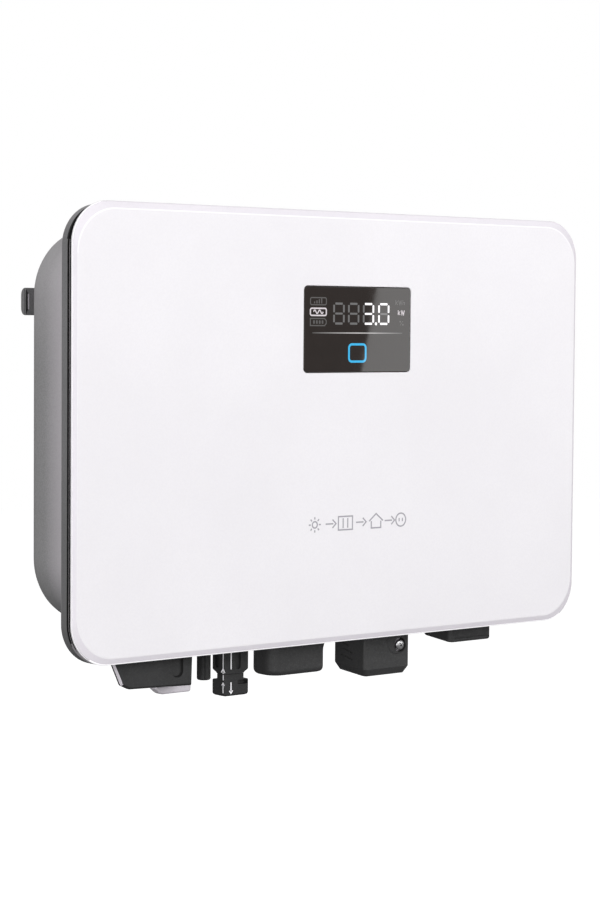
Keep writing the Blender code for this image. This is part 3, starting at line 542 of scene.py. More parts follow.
def lit_segment(name, colour, strength):
    """A part of the display that shines through the pane: a dark base, uneven light and the pane's gloss."""
    shader = Shader(name, (0.02, 0.018, 0.017), 0.03)
    shader.rough(60, 0.018, 0.035).glow(colour, strength)
    dimmer = tuple(channel * 0.86 for channel in colour)
    mix = shader.tree.nodes.new("ShaderNodeMix")
    mix.data_type = "RGBA"
    mix.inputs[6].default_value = (*colour, 1)
    mix.inputs[7].default_value = (*dimmer, 1)
    shader.link(shader.ramp(shader.noise(900), 0.3, 0.7, 0, 1), mix.inputs[0])
    shader.link(mix.outputs[2], shader.surface.inputs["Emission Color"])
    return shader


def fading_line(left, right):
    """Light that is strongest in the middle of the line and gone at its ends."""
    shader = lit_segment("display_line_light", (0.80, 0.78, 0.78), 0.75)
    across = shader.position()["X"]
    middle = (left + right) / 2
    rising = shader.ramp(across, left, middle, 0.08, 0.75)
    falling = shader.ramp(across, middle, right, 1.0, 0.10)
    product = shader.tree.nodes.new("ShaderNodeMath")
    product.operation = "MULTIPLY"
    shader.link(rising, product.inputs[0])
    shader.link(falling, product.inputs[1])
    shader.link(product.outputs["Value"], shader.surface.inputs["Emission Strength"])
    return shader.material


WHITE = white_coat()
RIM_HIGHLIGHT = rim_highlight_coat()
CHAMFER_SHADE = chamfer_shade_coat()
CREASE_HIGHLIGHT = crease_highlight_coat()
GREY = grey_coat()
DARK_GREY_AND_SHADE = dark_grey_coat_painted_shading()
BLACK_PLASTIC_AND_SHADE = black_plastic()
CHARCOAL = charcoal_plastic()
LIGHT_PLASTIC_AND_HIGHLIGHT = light_plastic()
PANE = smoked_pane()
ALUMINIUM = extruded_aluminium()
ZINC = zinc_sheet()
SCREW = screw_steel()
RUBBER_AND_SHADE = black_rubber()
BOARD = circuit_board()
COPPER = copper_winding()
PAD = gap_pad()
GUIDE = light_guide()


# ---------------------------------------------------------------- front

RIM_RADIUS = 0.025
FLANGE_DROP = 0.0016
LEFT, RIGHT, _, COVER_REAR, BOTTOM, TOP = span("front_cover")
LEAST_RADIUS = 0.001
FACE = 0.0001
WINDOW_RADIUS = 0.0026


def rim_outline(inset, radius=RIM_RADIUS, drop=0.0):
    """The rim drawn in by an inset, with its top edge lowered by a drop."""
    edges = (LEFT + inset, RIGHT - inset, BOTTOM + inset, TOP - inset - drop)
    return rectangle(*edges, max(radius - inset, LEAST_RADIUS))


def face_outline(inset):
    """The cover's outlines across its chamfer, narrower at the sides and rounder inside than outside."""
    across = inset * 0.62
    up = inset * 0.9
    return rectangle(LEFT + across, RIGHT - across, BOTTOM + up, TOP - inset, RIM_RADIUS + inset * 0.3)


def window_outline(margin):
    left, right, _, _, low, high = span("display_window")
    return rectangle(*grown((left, right, low, high), margin), WINDOW_RADIUS + margin)


def make_front_cover():
    """A sheet cover with a shallow chamfer all round and the display's opening."""
    profile = filleted(
        [
            (0.012, COVER_REAR),
            (0.0, COVER_REAR, 0.0004),
            (0.0, 0.0013, 0.0011),
            (0.0044, FACE, 0.0030),
            (0.012, FACE),
        ],
        closed=False,
        steps=6,
    )
    sections = [(face_outline(inset), depth) for inset, depth in profile]
    sections += [
        (window_outline(0.0011), FACE),
        (window_outline(0.0005), FACE + 0.00012),
        (window_outline(GAP), FACE + 0.0005),
        (window_outline(GAP), COVER_REAR),
    ]
    cover = new_object("front_cover_panel", loft(sections, frontal, ring=True), 40)
    piece(cover, WHITE, "white_paint", "front_cover")

    around = len(sections[0][0])
    rim_rear = 0.0019
    rim_width = 0.0003
    lower_rim_width = 0.0009
    chamfer_width = 0.0039
    crease_width = 0.0050
    crease_from = 0.01
    straight_top = RIGHT - 0.020

    def coat_of(face, _):
        section = face.index // around
        if section >= len(profile) - 1:
            return 0
        inset = (profile[section][0] + profile[section + 1][0]) / 2
        if profile[section][1] > rim_rear or inset > crease_width:
            return 0
        along_top = face.center.z > TOP - 0.004 and abs(face.center.x) < straight_top
        rim = lower_rim_width if face.center.z < BOTTOM + 0.004 else rim_width
        if inset < rim and not along_top:
            return 1
        if inset < chamfer_width:
            return 2
        return 3 if face.center.z > crease_from else 0

    # The rounded rim and the upper crease are painted brighter, with a faint glow, as highlights, and the
    # chamfer is painted darker as shade.
    repaint(cover, (RIM_HIGHLIGHT, CHAMFER_SHADE, CREASE_HIGHLIGHT), coat_of)


def make_layers():
    """The gasket behind the cover, the lid whose rim shows as a thin line, and the seal behind the lid."""
    for name, node, outer, inner, drop in (
        ("cover_gasket_ring", "cover_gasket", 0.0024, 0.0070, 0.0),
        ("lid_seal_ring", "lid_seal", 0.0095, 0.0125, FLANGE_DROP),
    ):
        _, _, front, rear, _, _ = span(node)
        corners = ((outer, rear), (outer, front), (inner, front), (inner, rear))
        sections = [(rim_outline(inset, drop=drop), depth) for inset, depth in corners]
        piece(new_object(name, loft(sections, frontal, ring=True)), RUBBER_AND_SHADE, "black_rubber", node)

    _, _, front, rear, _, _ = span("front_lid")
    lip_front = 0.0046
    lip_rear = 0.0051
    plug_inset = 0.0208
    plug_radius = 0.038
    profile = filleted(
        [
            (0.03, front),
            (0.0022, front),
            (0.0022, lip_front),
            (0.0002, lip_front, 0.0002),
            (0.0002, lip_rear, 0.0002),
            (0.012, lip_rear),
        ],
        closed=False,
    )
    lip_radius = RIM_RADIUS + 0.0002
    sections = [
        (rim_outline(inset, lip_radius, FLANGE_DROP), depth) for inset, depth in profile if inset < plug_inset
    ]
    plug_top = TOP - plug_inset + TUB_RISE
    plug = rectangle(LEFT + plug_inset, RIGHT - plug_inset, BOTTOM + plug_inset, plug_top, plug_radius)
    sections += [(plug, lip_rear), (plug, rear)]
    sections += [(window_outline(0.0015), rear), (window_outline(0.0015), front)]
    lid = new_object("front_lid_plate", loft(sections, frontal, ring=True))
    piece(lid, GREY, "grey_paint", "front_lid")

    def coat_of(face, depth):
        outside = abs(face.center.x) > RIGHT - 0.006 or face.center.z > TOP - 0.008
        before_lip = outside and depth < lip_front + 0.0001
        top_lip = face.center.z > TOP - 0.022 and depth < lip_rear + 0.0001
        return 1 if before_lip or top_lip else 0

    # The recess round its front, where the gasket sits, is painted as dark as the gasket: painted shade.
    repaint(lid, (RUBBER_AND_SHADE,), coat_of)


def make_display():
    """The smoked pane and what shines or is printed behind it, as thin films on its front."""
    left, right, _, rear, low, high = span("display_window")
    pane_front = 0.00030
    window = (left, right, low, high)

    def outline_at(inset):
        return rectangle(*grown(window, -inset), WINDOW_RADIUS - inset)

    pane = softened(outline_at, pane_front, rear, frontal, low_edge=0.0003)
    piece(new_object("display_pane", pane), PANE, "smoked_acrylic", "display_window")

    film = (pane_front - 0.00006, pane_front + 0.00002)

    def place_of(u, v):
        """A point given in millimetres from the window's top left corner."""
        return left + u / 1000, high - v / 1000

    def films(name, shader, outlines=(), closed_lines=(), width=0.0009):
        bm = bmesh.new()
        for outline in outlines:
            prism([place_of(*point) for point in outline], *film, frontal, bm)
        for points in closed_lines:
            outer, inner = ribbon([place_of(*point) for point in points], width, closed=True)
            loft([(outer, film[0]), (inner, film[0]), (inner, film[1]), (outer, film[1])], frontal, True, bm)
        piece(new_object(name, bm), shader, "light_plastic")

    def segment(u, v, across, down, radius=0.45):
        """A rounded bar round a middle."""
        return rectangle(u - across / 2, u + across / 2, v - down / 2, v + down / 2, radius, 4)

    digit_width = 8.0
    digit_height = 12.4
    stroke = 1.35
    reach = 0.55

    def digit(u, v):
        """The seven segments of a digit whose outer strokes run along a frame with its top left at (u, v)."""
        half = digit_height / 2
        flat = digit_width - 2 * reach - stroke * 0.6
        tall = half - 2 * reach - stroke * 0.25
        middle = u + digit_width / 2
        return {
            "a": segment(middle, v, flat, stroke),
            "g": segment(middle, v + half, flat, stroke * 0.9),
            "d": segment(middle, v + digit_height, flat, stroke),
            "f": segment(u, v + half / 2, stroke, tall),
            "b": segment(u + digit_width, v + half / 2, stroke, tall),
            "e": segment(u, v + half * 1.5, stroke, tall),
            "c": segment(u + digit_width, v + half * 1.5, stroke, tall),
        }

    shown = {"0": "abcdef", "3": "abcdg", " ": ""}
    lit, ghost = [], []
    for u, character in ((24.0, " "), (36.1, " "), (48.4, "3"), (61.2, "0")):
        for name, outline in digit(u, 10.5).items():
            (lit if name in shown[character] else ghost).append(outline)
    lit.append(circle(58.7, 22.9, 0.95, 16))

    white_light = lit_segment("display_white_light", (1.0, 0.98, 1.0), 1.25).material
    soft_light = lit_segment("display_soft_light", (0.95, 0.88, 0.93), 0.80).material
    # The unlit marks are given a faint glow: painted light.
    dim_light = lit_segment("display_dim_light", (0.62, 0.60, 0.60), 0.16).material
    ghost_light = lit_segment("display_ghost_light", (0.62, 0.62, 0.63), 0.24).material
    blue_light = lit_segment("display_blue_light", (0.03, 0.52, 0.93), 0.98).material

    films("display_digits_lit", white_light, lit)
    films("display_digits_unlit", ghost_light, ghost)

    # Three boxed pictograms: the day's yield, present power, and battery charge.
    def box(v):
        return rectangle(4.9, 17.7, v - 2.2, v + 2.2, 1.1, 5)

    battery = [(4.9, 19.9), (16.4, 19.9), (17.7, 21.3), (17.7, 22.9), (16.4, 24.3), (4.9, 24.3)]
    bars = [segment(8.2 + 1.9 * i, 10.0 - 0.35 * i, 0.9, 1.2 + 0.7 * i, 0.2) for i in range(4)]
    wave = [(7.4 + 0.65 * i, 15.75 - 1.15 * math.sin(i * math.pi / 3)) for i in range(13)]
    cells = [segment(7.8 + 2.3 * i, 22.1, 1.3, 2.1, 0.25) for i in range(4)]
    films("display_boxes_unlit", dim_light, bars + cells, [box(9.2), battery], 0.0007)
    films("display_box_lit", soft_light, [ribbon(wave, 0.75)], [box(15.8)], 0.0009)

    # The units in plain strokes: kWh and % unlit, kW lit.
    def letter_k(u, v):
        stem = ribbon([(u, v - 1.5), (u, v + 1.5)], 0.5)
        arms = ribbon([(u + 1.5, v - 0.8), (u + 0.55, v + 0.35), (u + 1.6, v + 1.5)], 0.45)
        return [stem, arms]

    def letter_w(u, v):
        levels = (-1.5, 1.4, -0.9, 1.4, -1.5)
        return [ribbon([(u + 0.7 * i, v + level) for i, level in enumerate(levels)], 0.45)]

    def letter_h(u, v):
        return [
            ribbon([(u, v - 1.5), (u, v + 1.5)], 0.45),
            ribbon([(u + 0.5, v - 0.1), (u + 1.4, v - 0.1), (u + 1.4, v + 1.5)], 0.45),
        ]

    kilowatt = letter_k(77.4, 15.7) + letter_w(79.9, 15.7)
    kilowatt_hour = letter_k(75.2, 9.3) + letter_w(77.6, 9.3) + letter_h(81.3, 9.3)
    rings = [circle(79.1, 21.4, 0.6, 12), circle(81.5, 23.4, 0.6, 12)]
    percent = [ribbon([(79.0, 23.9), (81.6, 20.9)], 0.4), *rings]
    films("display_unit_lit", soft_light, kilowatt)
    films("display_units_unlit", dim_light, kilowatt_hour + percent)

    line_left, line_right = place_of(6.6, 0)[0], place_of(81.0, 0)[0]
    films("display_line", fading_line(line_left, line_right), [rectangle(6.6, 81.0, 28.45, 29.15)])

    ring = rectangle(36.5, 50.3, 35.9, 46.7, 2.3, 8)
    films("display_indicator", blue_light, (), [ring], 0.0014)


def make_front_print():
    """A row of plain energy-flow pictograms, printed in grey low on the cover."""
    film = (0.00002, FACE + 0.00002)
    width = 0.0009
    middle_z = -0.1375
    half = 0.0042
    bm = bmesh.new()

    def line(points, closed=False):
        outline = ribbon(points, width, closed)
        if not closed:
            prism(outline, *film, frontal, bm)
            return
        outer, inner = outline
        loft([(outer, film[0]), (inner, film[0]), (inner, film[1]), (outer, film[1])], frontal, True, bm)

    def arrow(u):
        line([(u - 0.0040, middle_z), (u + 0.0022, middle_z)])
        line([(u + 0.0016, middle_z + 0.0026), (u + 0.0044, middle_z), (u + 0.0016, middle_z - 0.0026)])

    # A sun.
    sun = -0.0250
    line(circle(sun, middle_z, 0.0020, 20), closed=True)
    for turn in range(8):
        angle = turn * math.pi / 4
        ray = [
            (sun + reach * math.cos(angle), middle_z + reach * math.sin(angle)) for reach in (0.0033, 0.0048)
        ]
        line(ray)
    # A solar panel with its two dividing lines.
    panel = 0.0
    line(rectangle(panel - 0.0058, panel + 0.0058, middle_z - half, middle_z + half), closed=True)
    for offset in (-0.0019, 0.0019):
        line([(panel + offset, middle_z + half - 0.0011), (panel + offset, middle_z - half + 0.0011)])
    # A house.
    house = 0.0255
    eaves = middle_z + 0.0002
    line([(house - 0.0058, eaves), (house, middle_z + 0.0048), (house + 0.0058, eaves)])
    walls = (house - 0.0040, house + 0.0040)
    line([(walls[0], eaves), (walls[0], middle_z - half), (walls[1], middle_z - half), (walls[1], eaves)])
    # A plug socket.
    outlet = 0.0465
    line(circle(outlet, middle_z, 0.0042, 28), closed=True)
    for side in (-0.0014, 0.0014):
        line([(outlet + side, middle_z + 0.0011), (outlet + side, middle_z - 0.0011)])
    for u in ((sun + panel) / 2 + 0.0003, (panel + house) / 2, (house + outlet) / 2 + 0.0008):
        arrow(u)
    ink = print_ink("grey_print", (0.33, 0.32, 0.35), 1.15)
    piece(new_object("front_print", bm), ink, "grey_paint")


# ---------------------------------------------------------------- housing

TUB_INSET = 0.017
TUB_RISE = 0.0037
TUB_RADIUS = 0.041
WALL = 0.003
BAR_BOLTS = ("hanger_bolt_left", "hanger_bolt_right")


def tub_outline(inset):
    """The tub's walls drawn in by an inset. Its top is closer to the rim than its other sides."""
    total = TUB_INSET + inset
    edges = (LEFT + total, RIGHT - total, BOTTOM + total, TOP + TUB_RISE - total)
    return rectangle(*edges, max(TUB_RADIUS - inset, LEAST_RADIUS))


def screw_seats():
    """Where the lid's screws come through the flange, from their CAD nodes."""
    return [middle_of(f"lid_screw_{number}") for number in range(1, 7)]


def make_tub():
    """The die-cast tub: flange, seal channel, walls with a rounded rear edge, and its openings."""
    _, _, front, rear, _, _ = span("housing_tub")
    flange_rear = 0.0132
    channel_floor = front + 0.0025
    channel_outer = 0.0092
    channel_inner = 0.0128
    rounding = 0.010
    fillet = 0.0025
    groove = front + 0.0004

    inside = quarter_round(rounding - WALL, 4)
    sections = [(tub_outline(WALL + inset), rear - WALL - along) for inset, along in inside]
    sections.append((tub_outline(WALL), front))
    channel = (
        (channel_inner, front),
        (channel_inner, channel_floor),
        (channel_outer, channel_floor),
        (channel_outer, front),
    )
    edge = filleted(
        [
            (channel_outer, front),
            (0.0018, front),
            (0.0018, groove),
            (0.0, groove, 0.0002),
            (0.0, groove + 0.0012),
            (0.0, flange_rear, 0.0008),
            (channel_outer, flange_rear),
        ],
        closed=False,
    )
    sections += [(rim_outline(inset, drop=FLANGE_DROP), depth) for inset, depth in (*channel, *edge[1:-1])]
    sections += [(tub_outline(-out), flange_rear + along) for out, along in quarter_round(fillet, 5)]
    outside = reversed(quarter_round(rounding, 8))
    sections += [(tub_outline(inset), rear - along) for inset, along in outside]
    tub = new_object("tub_casting", loft(sections, frontal), 30)

    bottom = BOTTOM + TUB_INSET
    holes = []
    for node in ("com_socket", "ac_terminal_block"):
        left, right, near, far, _, _ = span(node)
        holes.append(rectangle(*grown((left, right, near, far), GAP)))
    for node, radius in (
        ("dc_switch_shaft", 0.005),
        ("pv_positive_nut", 0.0073),
        ("pv_negative_nut", 0.0073),
        ("accessory_socket", 0.0108),
        ("pressure_vent", 0.0048),
    ):
        holes.append(circle(*axis_of(node), radius))
    tools = [prism(hole, bottom - WALL, bottom + 2 * WALL, upright) for hole in holes]
    for u, v in screw_seats():
        tools.append(prism(circle(u, v, 0.0018, 16), front - 0.001, flange_rear + 0.001, frontal))
    shape(tub, tools, sharp_angle=30)
    piece(tub, GREY, "grey_paint", "housing_tub")

    def coat_of(face, depth):
        at_corner = face.center.z > TOP - 0.022 and abs(face.center.x) > RIGHT - 0.026
        outside = abs(face.center.x) > RIGHT - 0.004 or face.center.z > TOP - 0.010
        if at_corner and depth < groove + 0.0012 or outside and depth < groove + 0.0003:
            return 2
        return 1 if depth < flange_rear - 0.0007 and abs(face.normal.y) < 0.7 else 0

    # The flange's side is painted darker than the walls as shade, and the groove in front of it is painted
    # darker still as the shade in it.
    repaint(tub, (DARK_GREY_AND_SHADE, RUBBER_AND_SHADE), coat_of)


def cross_recess(centre, outward, across, radius, depth):
    """The tool for a cross-shaped driver recess: two tapered bars at right angles, sunk along the axis."""
    outward = Vector(outward)
    first = Vector(across)
    second = outward.cross(first)
    centre = Vector(centre)
    ends = ((-depth, radius * 0.35, radius * 0.10), (depth, radius * 0.85, radius * 0.17))
    tools = []
    for long_way, short_way in ((first, second), (second, first)):
        bm = bmesh.new()
        rings = []
        for level, reach, half_width in ends:
            corners = []
            for sign_long, sign_short in ((1, 1), (-1, 1), (-1, -1), (1, -1)):
                place = centre + outward * level
                place = place + long_way * (sign_long * reach) + short_way * (sign_short * half_width)
                corners.append(bm.verts.new(place))
            rings.append(corners)
        lower, upper = rings
        for i in range(4):
            j = (i + 1) % 4
            bm.faces.new((lower[i], lower[j], upper[j], upper[i]))
        bm.faces.new(lower)
        bm.faces.new(upper)
        tools.append(bm)
    return tools


def pan_screw(name, seat, outward, across, head, height, shank, length, node=None, slot="steel"):
    """A pan-head screw with a cross recess. The seat is the middle of the underside of its head."""
    dome = height * 0.55
    profile = [(0.0, height)]
    for step in range(1, 9):
        angle = step / 8 * math.pi / 2
        profile.append((head * math.sin(angle), height - dome + dome * math.cos(angle)))
    profile += [(head, height * 0.08), (head * 0.96, 0.0), (shank, 0.0), (shank, -length), (0.0, -length)]
    screw = new_object(name, turned(profile, seat, outward, 40), 35)
    top = Vector(seat) + Vector(outward) * height
    shape(screw, cross_recess(top, outward, across, head * 0.72, height * 0.75), sharp_angle=35)
    return piece(screw, SCREW, slot, *([node] if node else []))


def make_lid_screws():
    head_radius = 0.0028
    head_height = 0.0024
    shank_radius = 0.0015
    for number, (u, v) in enumerate(screw_seats(), 1):
        node = f"lid_screw_{number}"
        _, _, front, rear, _, _ = span(node)
        seat_depth = rear - head_height
        turn = 0.4 * number
        across = (math.cos(turn), 0, math.sin(turn))
        sizes = (head_radius, head_height, shank_radius, seat_depth - front)
        pan_screw(f"rim_screw_{number}", frontal(u, v, seat_depth), (0, 1, 0), across, *sizes, node)


def make_heat_sink():
    """An extruded heat sink: upright fins with rounded tips, notched for the bar and the bracket's hook."""
    left, right, front, rear, low, high = span("heat_sink")
    base_rear = 0.081
    outer_width = 0.008
    fin_width = 0.0028
    fin_count = 18
    tip = 0.0011
    outer_tip = 0.0020
    root = 0.0008
    first = left + outer_width
    last = right - outer_width
    pitch = (right - left - 2 * outer_width) / (fin_count - 1)
    corners = [(right, front, 0.0008), (left, front, 0.0008)]
    corners += [(left, rear, outer_tip), (first, rear, outer_tip), (first, base_rear, root)]
    for fin in range(1, fin_count - 1):
        middle = first + pitch * fin
        near = middle - fin_width / 2
        far = middle + fin_width / 2
        corners += [(near, base_rear, root), (near, rear, tip), (far, rear, tip), (far, base_rear, root)]
    corners += [(last, base_rear, root), (last, rear, outer_tip), (right, rear, outer_tip)]
    sink = new_object("heat_sink_extrusion", prism(filleted(corners, steps=3), low, high, upright), 40)

    _, _, bar_front, _, bar_low, bar_high = span("hanger_bar")
    hook_left, hook_right = span("wall_bracket")[:2]
    beyond = rear + 0.01
    bar_room = rectangle(left - 0.01, right + 0.01, bar_front - GAP, beyond)
    hook_room = rectangle(hook_left - 0.003, hook_right + 0.003, 0.124, beyond)
    bar_notch = prism(bar_room, bar_low - 0.0006, bar_high + 0.0006, upright)
    hook_notch = prism(hook_room, -0.015, 0.013, upright)
    shape(sink, [bar_notch, hook_notch], sharp_angle=40)
    piece(sink, ALUMINIUM, "bare_aluminium", "heat_sink")


def make_hanger_bar():
    """The bar across the heat sink that the bracket's hook carries."""
    left, right, front, rear, low, high = span("hanger_bar")

    def bar_section(inset):
        corners = [
            (front + inset, high - inset, 0.0009),
            (front + inset, low + inset, 0.0009),
            (rear - inset, low + inset, 0.0041),
            (rear - inset, high - inset, 0.0041),
        ]
        return filleted(corners, steps=6)

    bar = new_object("hanger_rail", softened(bar_section, left, right, sideways, 0.0005, 0.0005))
    slot_depth = 0.0004
    slot_half_height = 0.00495
    tools = []
    for end, side in ((left, 1), (right, -1)):
        edges = sorted((end + side * 0.0016, end + side * 0.0028))
        slot = rectangle(*edges, -slot_half_height, slot_half_height, 0.0005, 5)
        tools.append(prism(slot, front - 0.001, front + slot_depth, frontal))
    for node in BAR_BOLTS:
        hole = circle(axis_of(node)[0], 0, 0.0028)
        tools.append(prism(hole, front - 0.001, rear + 0.001, frontal))
    shape(bar, tools)
    piece(bar, DARK_GREY_AND_SHADE, "grey_paint", "hanger_bar")

    def coat_of(face, depth):
        across = right - abs(face.center.x)
        in_slot = 0.0008 < across < 0.0030 and abs(face.center.z) < slot_half_height + 0.00015
        if in_slot and abs(depth - front - slot_depth) < 0.0001:
            return 1
        return 2 if face.normal.y < -0.7 and across < 0.02 else 0

    # The floors of the shallow slots at its ends are painted light as a highlight, and the front beside them
    # is painted black as the shade the tub throws on it.
    repaint(bar, (LIGHT_PLASTIC_AND_HIGHLIGHT, BLACK_PLASTIC_AND_SHADE), coat_of)


def make_bar_bolts():
    """The two socket-head bolts that hold the bar to the heat sink."""
    head = 0.0042
    height = 0.0035
    shank = 0.0025
    socket_radius = 0.0021
    for node in BAR_BOLTS:
        _, _, tip, rear, _, _ = span(node)
        middle = axis_of(node)[0]
        seat = (middle, FRONT_Y + rear - height, 0)
        end = tip - rear + height
        corners = [(0, height), (head * 0.95, height, 0.0010), (head, 0), (shank, 0), (shank, end), (0, end)]
        profile = filleted(corners, closed=False)
        bolt = new_object(f"{node}_screw", turned(profile, seat, (0, 1, 0), 40), 35)
        socket = circle(middle, 0, socket_radius, 6)
        shape(bolt, [prism(socket, rear - 0.0020, rear + 0.001, frontal)], sharp_angle=35)
        piece(bolt, SCREW, "steel", node)


def make_bracket():
    """The folded wall bracket: a plate with six anchor holes and a hook under the bar."""
    left, right, lip_front, wall, low, high = span("wall_bracket")
    sheet = 0.002
    arm_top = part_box("hanger_bar")[0].z - GAP
    lip_top = 0.004
    bend = 0.0026
    lip_rear = lip_front + sheet
    section = [
        (wall, low),
        (wall, high),
        (wall - sheet, high),
        (wall - sheet, arm_top),
        (lip_rear, arm_top, 0.0006),
        (lip_rear, lip_top, 0.0006),
        (lip_front, lip_top, 0.0009),
        (lip_front, arm_top - sheet, bend),
        (wall - sheet, arm_top - sheet, 0.0006),
        (wall - sheet, low),
    ]
    bracket = new_object("bracket_sheet", prism(filleted(section, steps=5), left, right, sideways))
    whole = rectangle(left, right, low, high, 0.006, 8)
    shape(bracket, [prism(whole, lip_front - 0.01, wall + 0.01, frontal)], "INTERSECT")
    anchor_u = right - 0.018
    anchor_v = high - 0.011
    holes = [
        prism(circle(u, v, 0.0035), wall - 0.004, wall + 0.002, frontal)
        for u in (-anchor_u, 0, anchor_u)
        for v in (-anchor_v, anchor_v)
    ]
    shape(bracket, holes)
    piece(bracket, ZINC, "steel", "wall_bracket")


# ---------------------------------------------------------------- underside

UNDER = BOTTOM + TUB_INSET - GAP


def make_guard():
    """The d.c. switch's guard: a black plate with a chamfered front, a blind slot and a foot."""
    _, _, front, _, low, _ = span("dc_switch_guard")
    sheet = 0.003
    chamfer = 0.0012
    corners = [
        (-0.1080, UNDER, 0.0004),
        (-0.1460, UNDER, 0.0004),
        (-0.1722, -0.2045, 0.0015),
        (-0.1616, -0.2275, 0.0020),
        (-0.1555, -0.2304, 0.0030),
        (-0.1092, low, 0.0006),
    ]
    outer = filleted(corners, steps=4)
    middle = Vector((-0.135, -0.212))
    half_width = 0.030
    half_height = 0.018

    def drawn_in(inset):
        scale_u = 1 - inset / half_width
        scale_v = 1 - inset / half_height
        return [(middle.x + (u - middle.x) * scale_u, middle.y + (v - middle.y) * scale_v) for u, v in outer]

    sections = [
        (drawn_in(chamfer), front),
        (drawn_in(chamfer * 0.85), front + 0.0001),
        (drawn_in(0.0001), front + chamfer * 0.85),
        (outer, front + chamfer),
        (outer, front + sheet - 0.0003),
        (drawn_in(0.0003), front + sheet),
    ]
    guard = new_object("switch_guard", loft(sections, frontal))
    slot_left = -0.1245
    slot_right = -0.1163
    slot_bottom = -0.2262
    slot_top = UNDER + 0.006
    draft = 0.0007
    slot = rectangle(slot_left, slot_right, slot_bottom, slot_top, 0.0040, 10)
    slot_floor = rectangle(slot_left + draft, slot_right - draft, slot_bottom + draft, slot_top, 0.0034, 10)
    slot_tool = loft([(slot_floor, front + 0.0016), (slot, front + 0.0008), (slot, front - 0.001)], frontal)
    shape(guard, [slot_tool])
    foot_bottom = UNDER - 0.0025
    foot = (-0.1455, -0.0915, front + 0.001, 0.056)

    def foot_outline(inset):
        return rectangle(*grown(foot, -inset), 0.003 - inset, 6)

    shape(guard, [softened(foot_outline, foot_bottom, UNDER, upright, low_edge=0.0005)], "UNION")
    bore = circle(*axis_of("dc_switch_shaft"), 0.005)
    shape(guard, [prism(bore, foot_bottom - 0.001, UNDER + 0.001, upright)])
    piece(guard, BLACK_PLASTIC_AND_SHADE, "black_plastic", "dc_switch_guard")

    def coat_of(face, place):
        depth = place - front
        sloping = face.normal.x < -0.3 and -0.9 < face.normal.y < -0.3
        slanted_end = face.center.x < -0.1600 and face.center.z < -0.203
        if sloping and slanted_end and depth < chamfer:
            return 1
        beside = slot_left - 0.0005 < face.center.x < slot_right + 0.0008
        within = beside and face.center.z > slot_bottom - 0.0008
        return 2 if within and 0.0001 < depth < 0.0015 else 0

    # The chamfer along the slanted end is painted light as a highlight, and the slot's sides are painted dark
    # as the shade in the slot.
    repaint(guard, (LIGHT_PLASTIC_AND_HIGHLIGHT, RUBBER_AND_SHADE), coat_of)


def make_knob():
    """The rotary knob: a round skirt and a bar grip with fine ribs along its lower edges."""
    _, _, _, _, low, high = span("dc_switch_knob")
    u, v = axis_of("dc_switch_knob")
    skirt_radius = 0.0135
    skirt_bottom = high - 0.005
    skirt = [(0, high), (skirt_radius, high, 0.0006), (skirt_radius, skirt_bottom, 0.0009), (0, skirt_bottom)]
    profile = filleted(skirt, closed=False)
    knob = new_object("switch_knob", turned(profile, upright(u, v, 0), (0, 0, 1), 64))
    half_length = 0.0136
    half_width = 0.0038

    def grip_outline(inset, slope):
        left = u - half_length + inset + slope
        right = u + half_length - inset
        near = v - half_width + inset
        return rectangle(left, right, near, v + half_width - inset, 0.0014 - inset * 0.5, 8)

    lean = 0.0046
    lean_height = 0.0040
    sections = []
    for inset, level in quarter_round(0.0013, 5):
        slope = lean * (1 - level / lean_height)
        sections.append((grip_outline(inset, slope), low + level))
    sections += [(grip_outline(0, 0), low + lean_height), (grip_outline(0, 0), high - 0.003)]
    shape(knob, [loft(sections, upright)], "UNION")
    ribs = []
    for i in range(-4, 5):
        middle = u - 0.0005 + i * 0.0013
        outline = rectangle(middle - 0.0003, middle + 0.0003, v - 0.006, v + 0.006)
        ribs.append(prism(outline, low - 0.001, low + 0.0004, upright))
    shape(knob, ribs)
    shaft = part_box("dc_switch_shaft")
    shape(knob, [prism(circle(u, v, 0.0033), shaft[0].z - GAP, high + 0.001, upright)])
    piece(knob, LIGHT_PLASTIC_AND_HIGHLIGHT, "light_plastic", "dc_switch_knob", body="dc_switch")


PV_HALF_WIDTH = 0.0096
PV_HALF_DEPTH = 0.0066
PLUG_TOP = -0.2352


def pv_body(u, v, inset=0.0):
    """The connectors' rectangular section."""
    half_width = PV_HALF_WIDTH - inset
    half_depth = PV_HALF_DEPTH - inset
    return rectangle(u - half_width, u + half_width, v - half_depth, v + half_depth, 0.0012, 6)


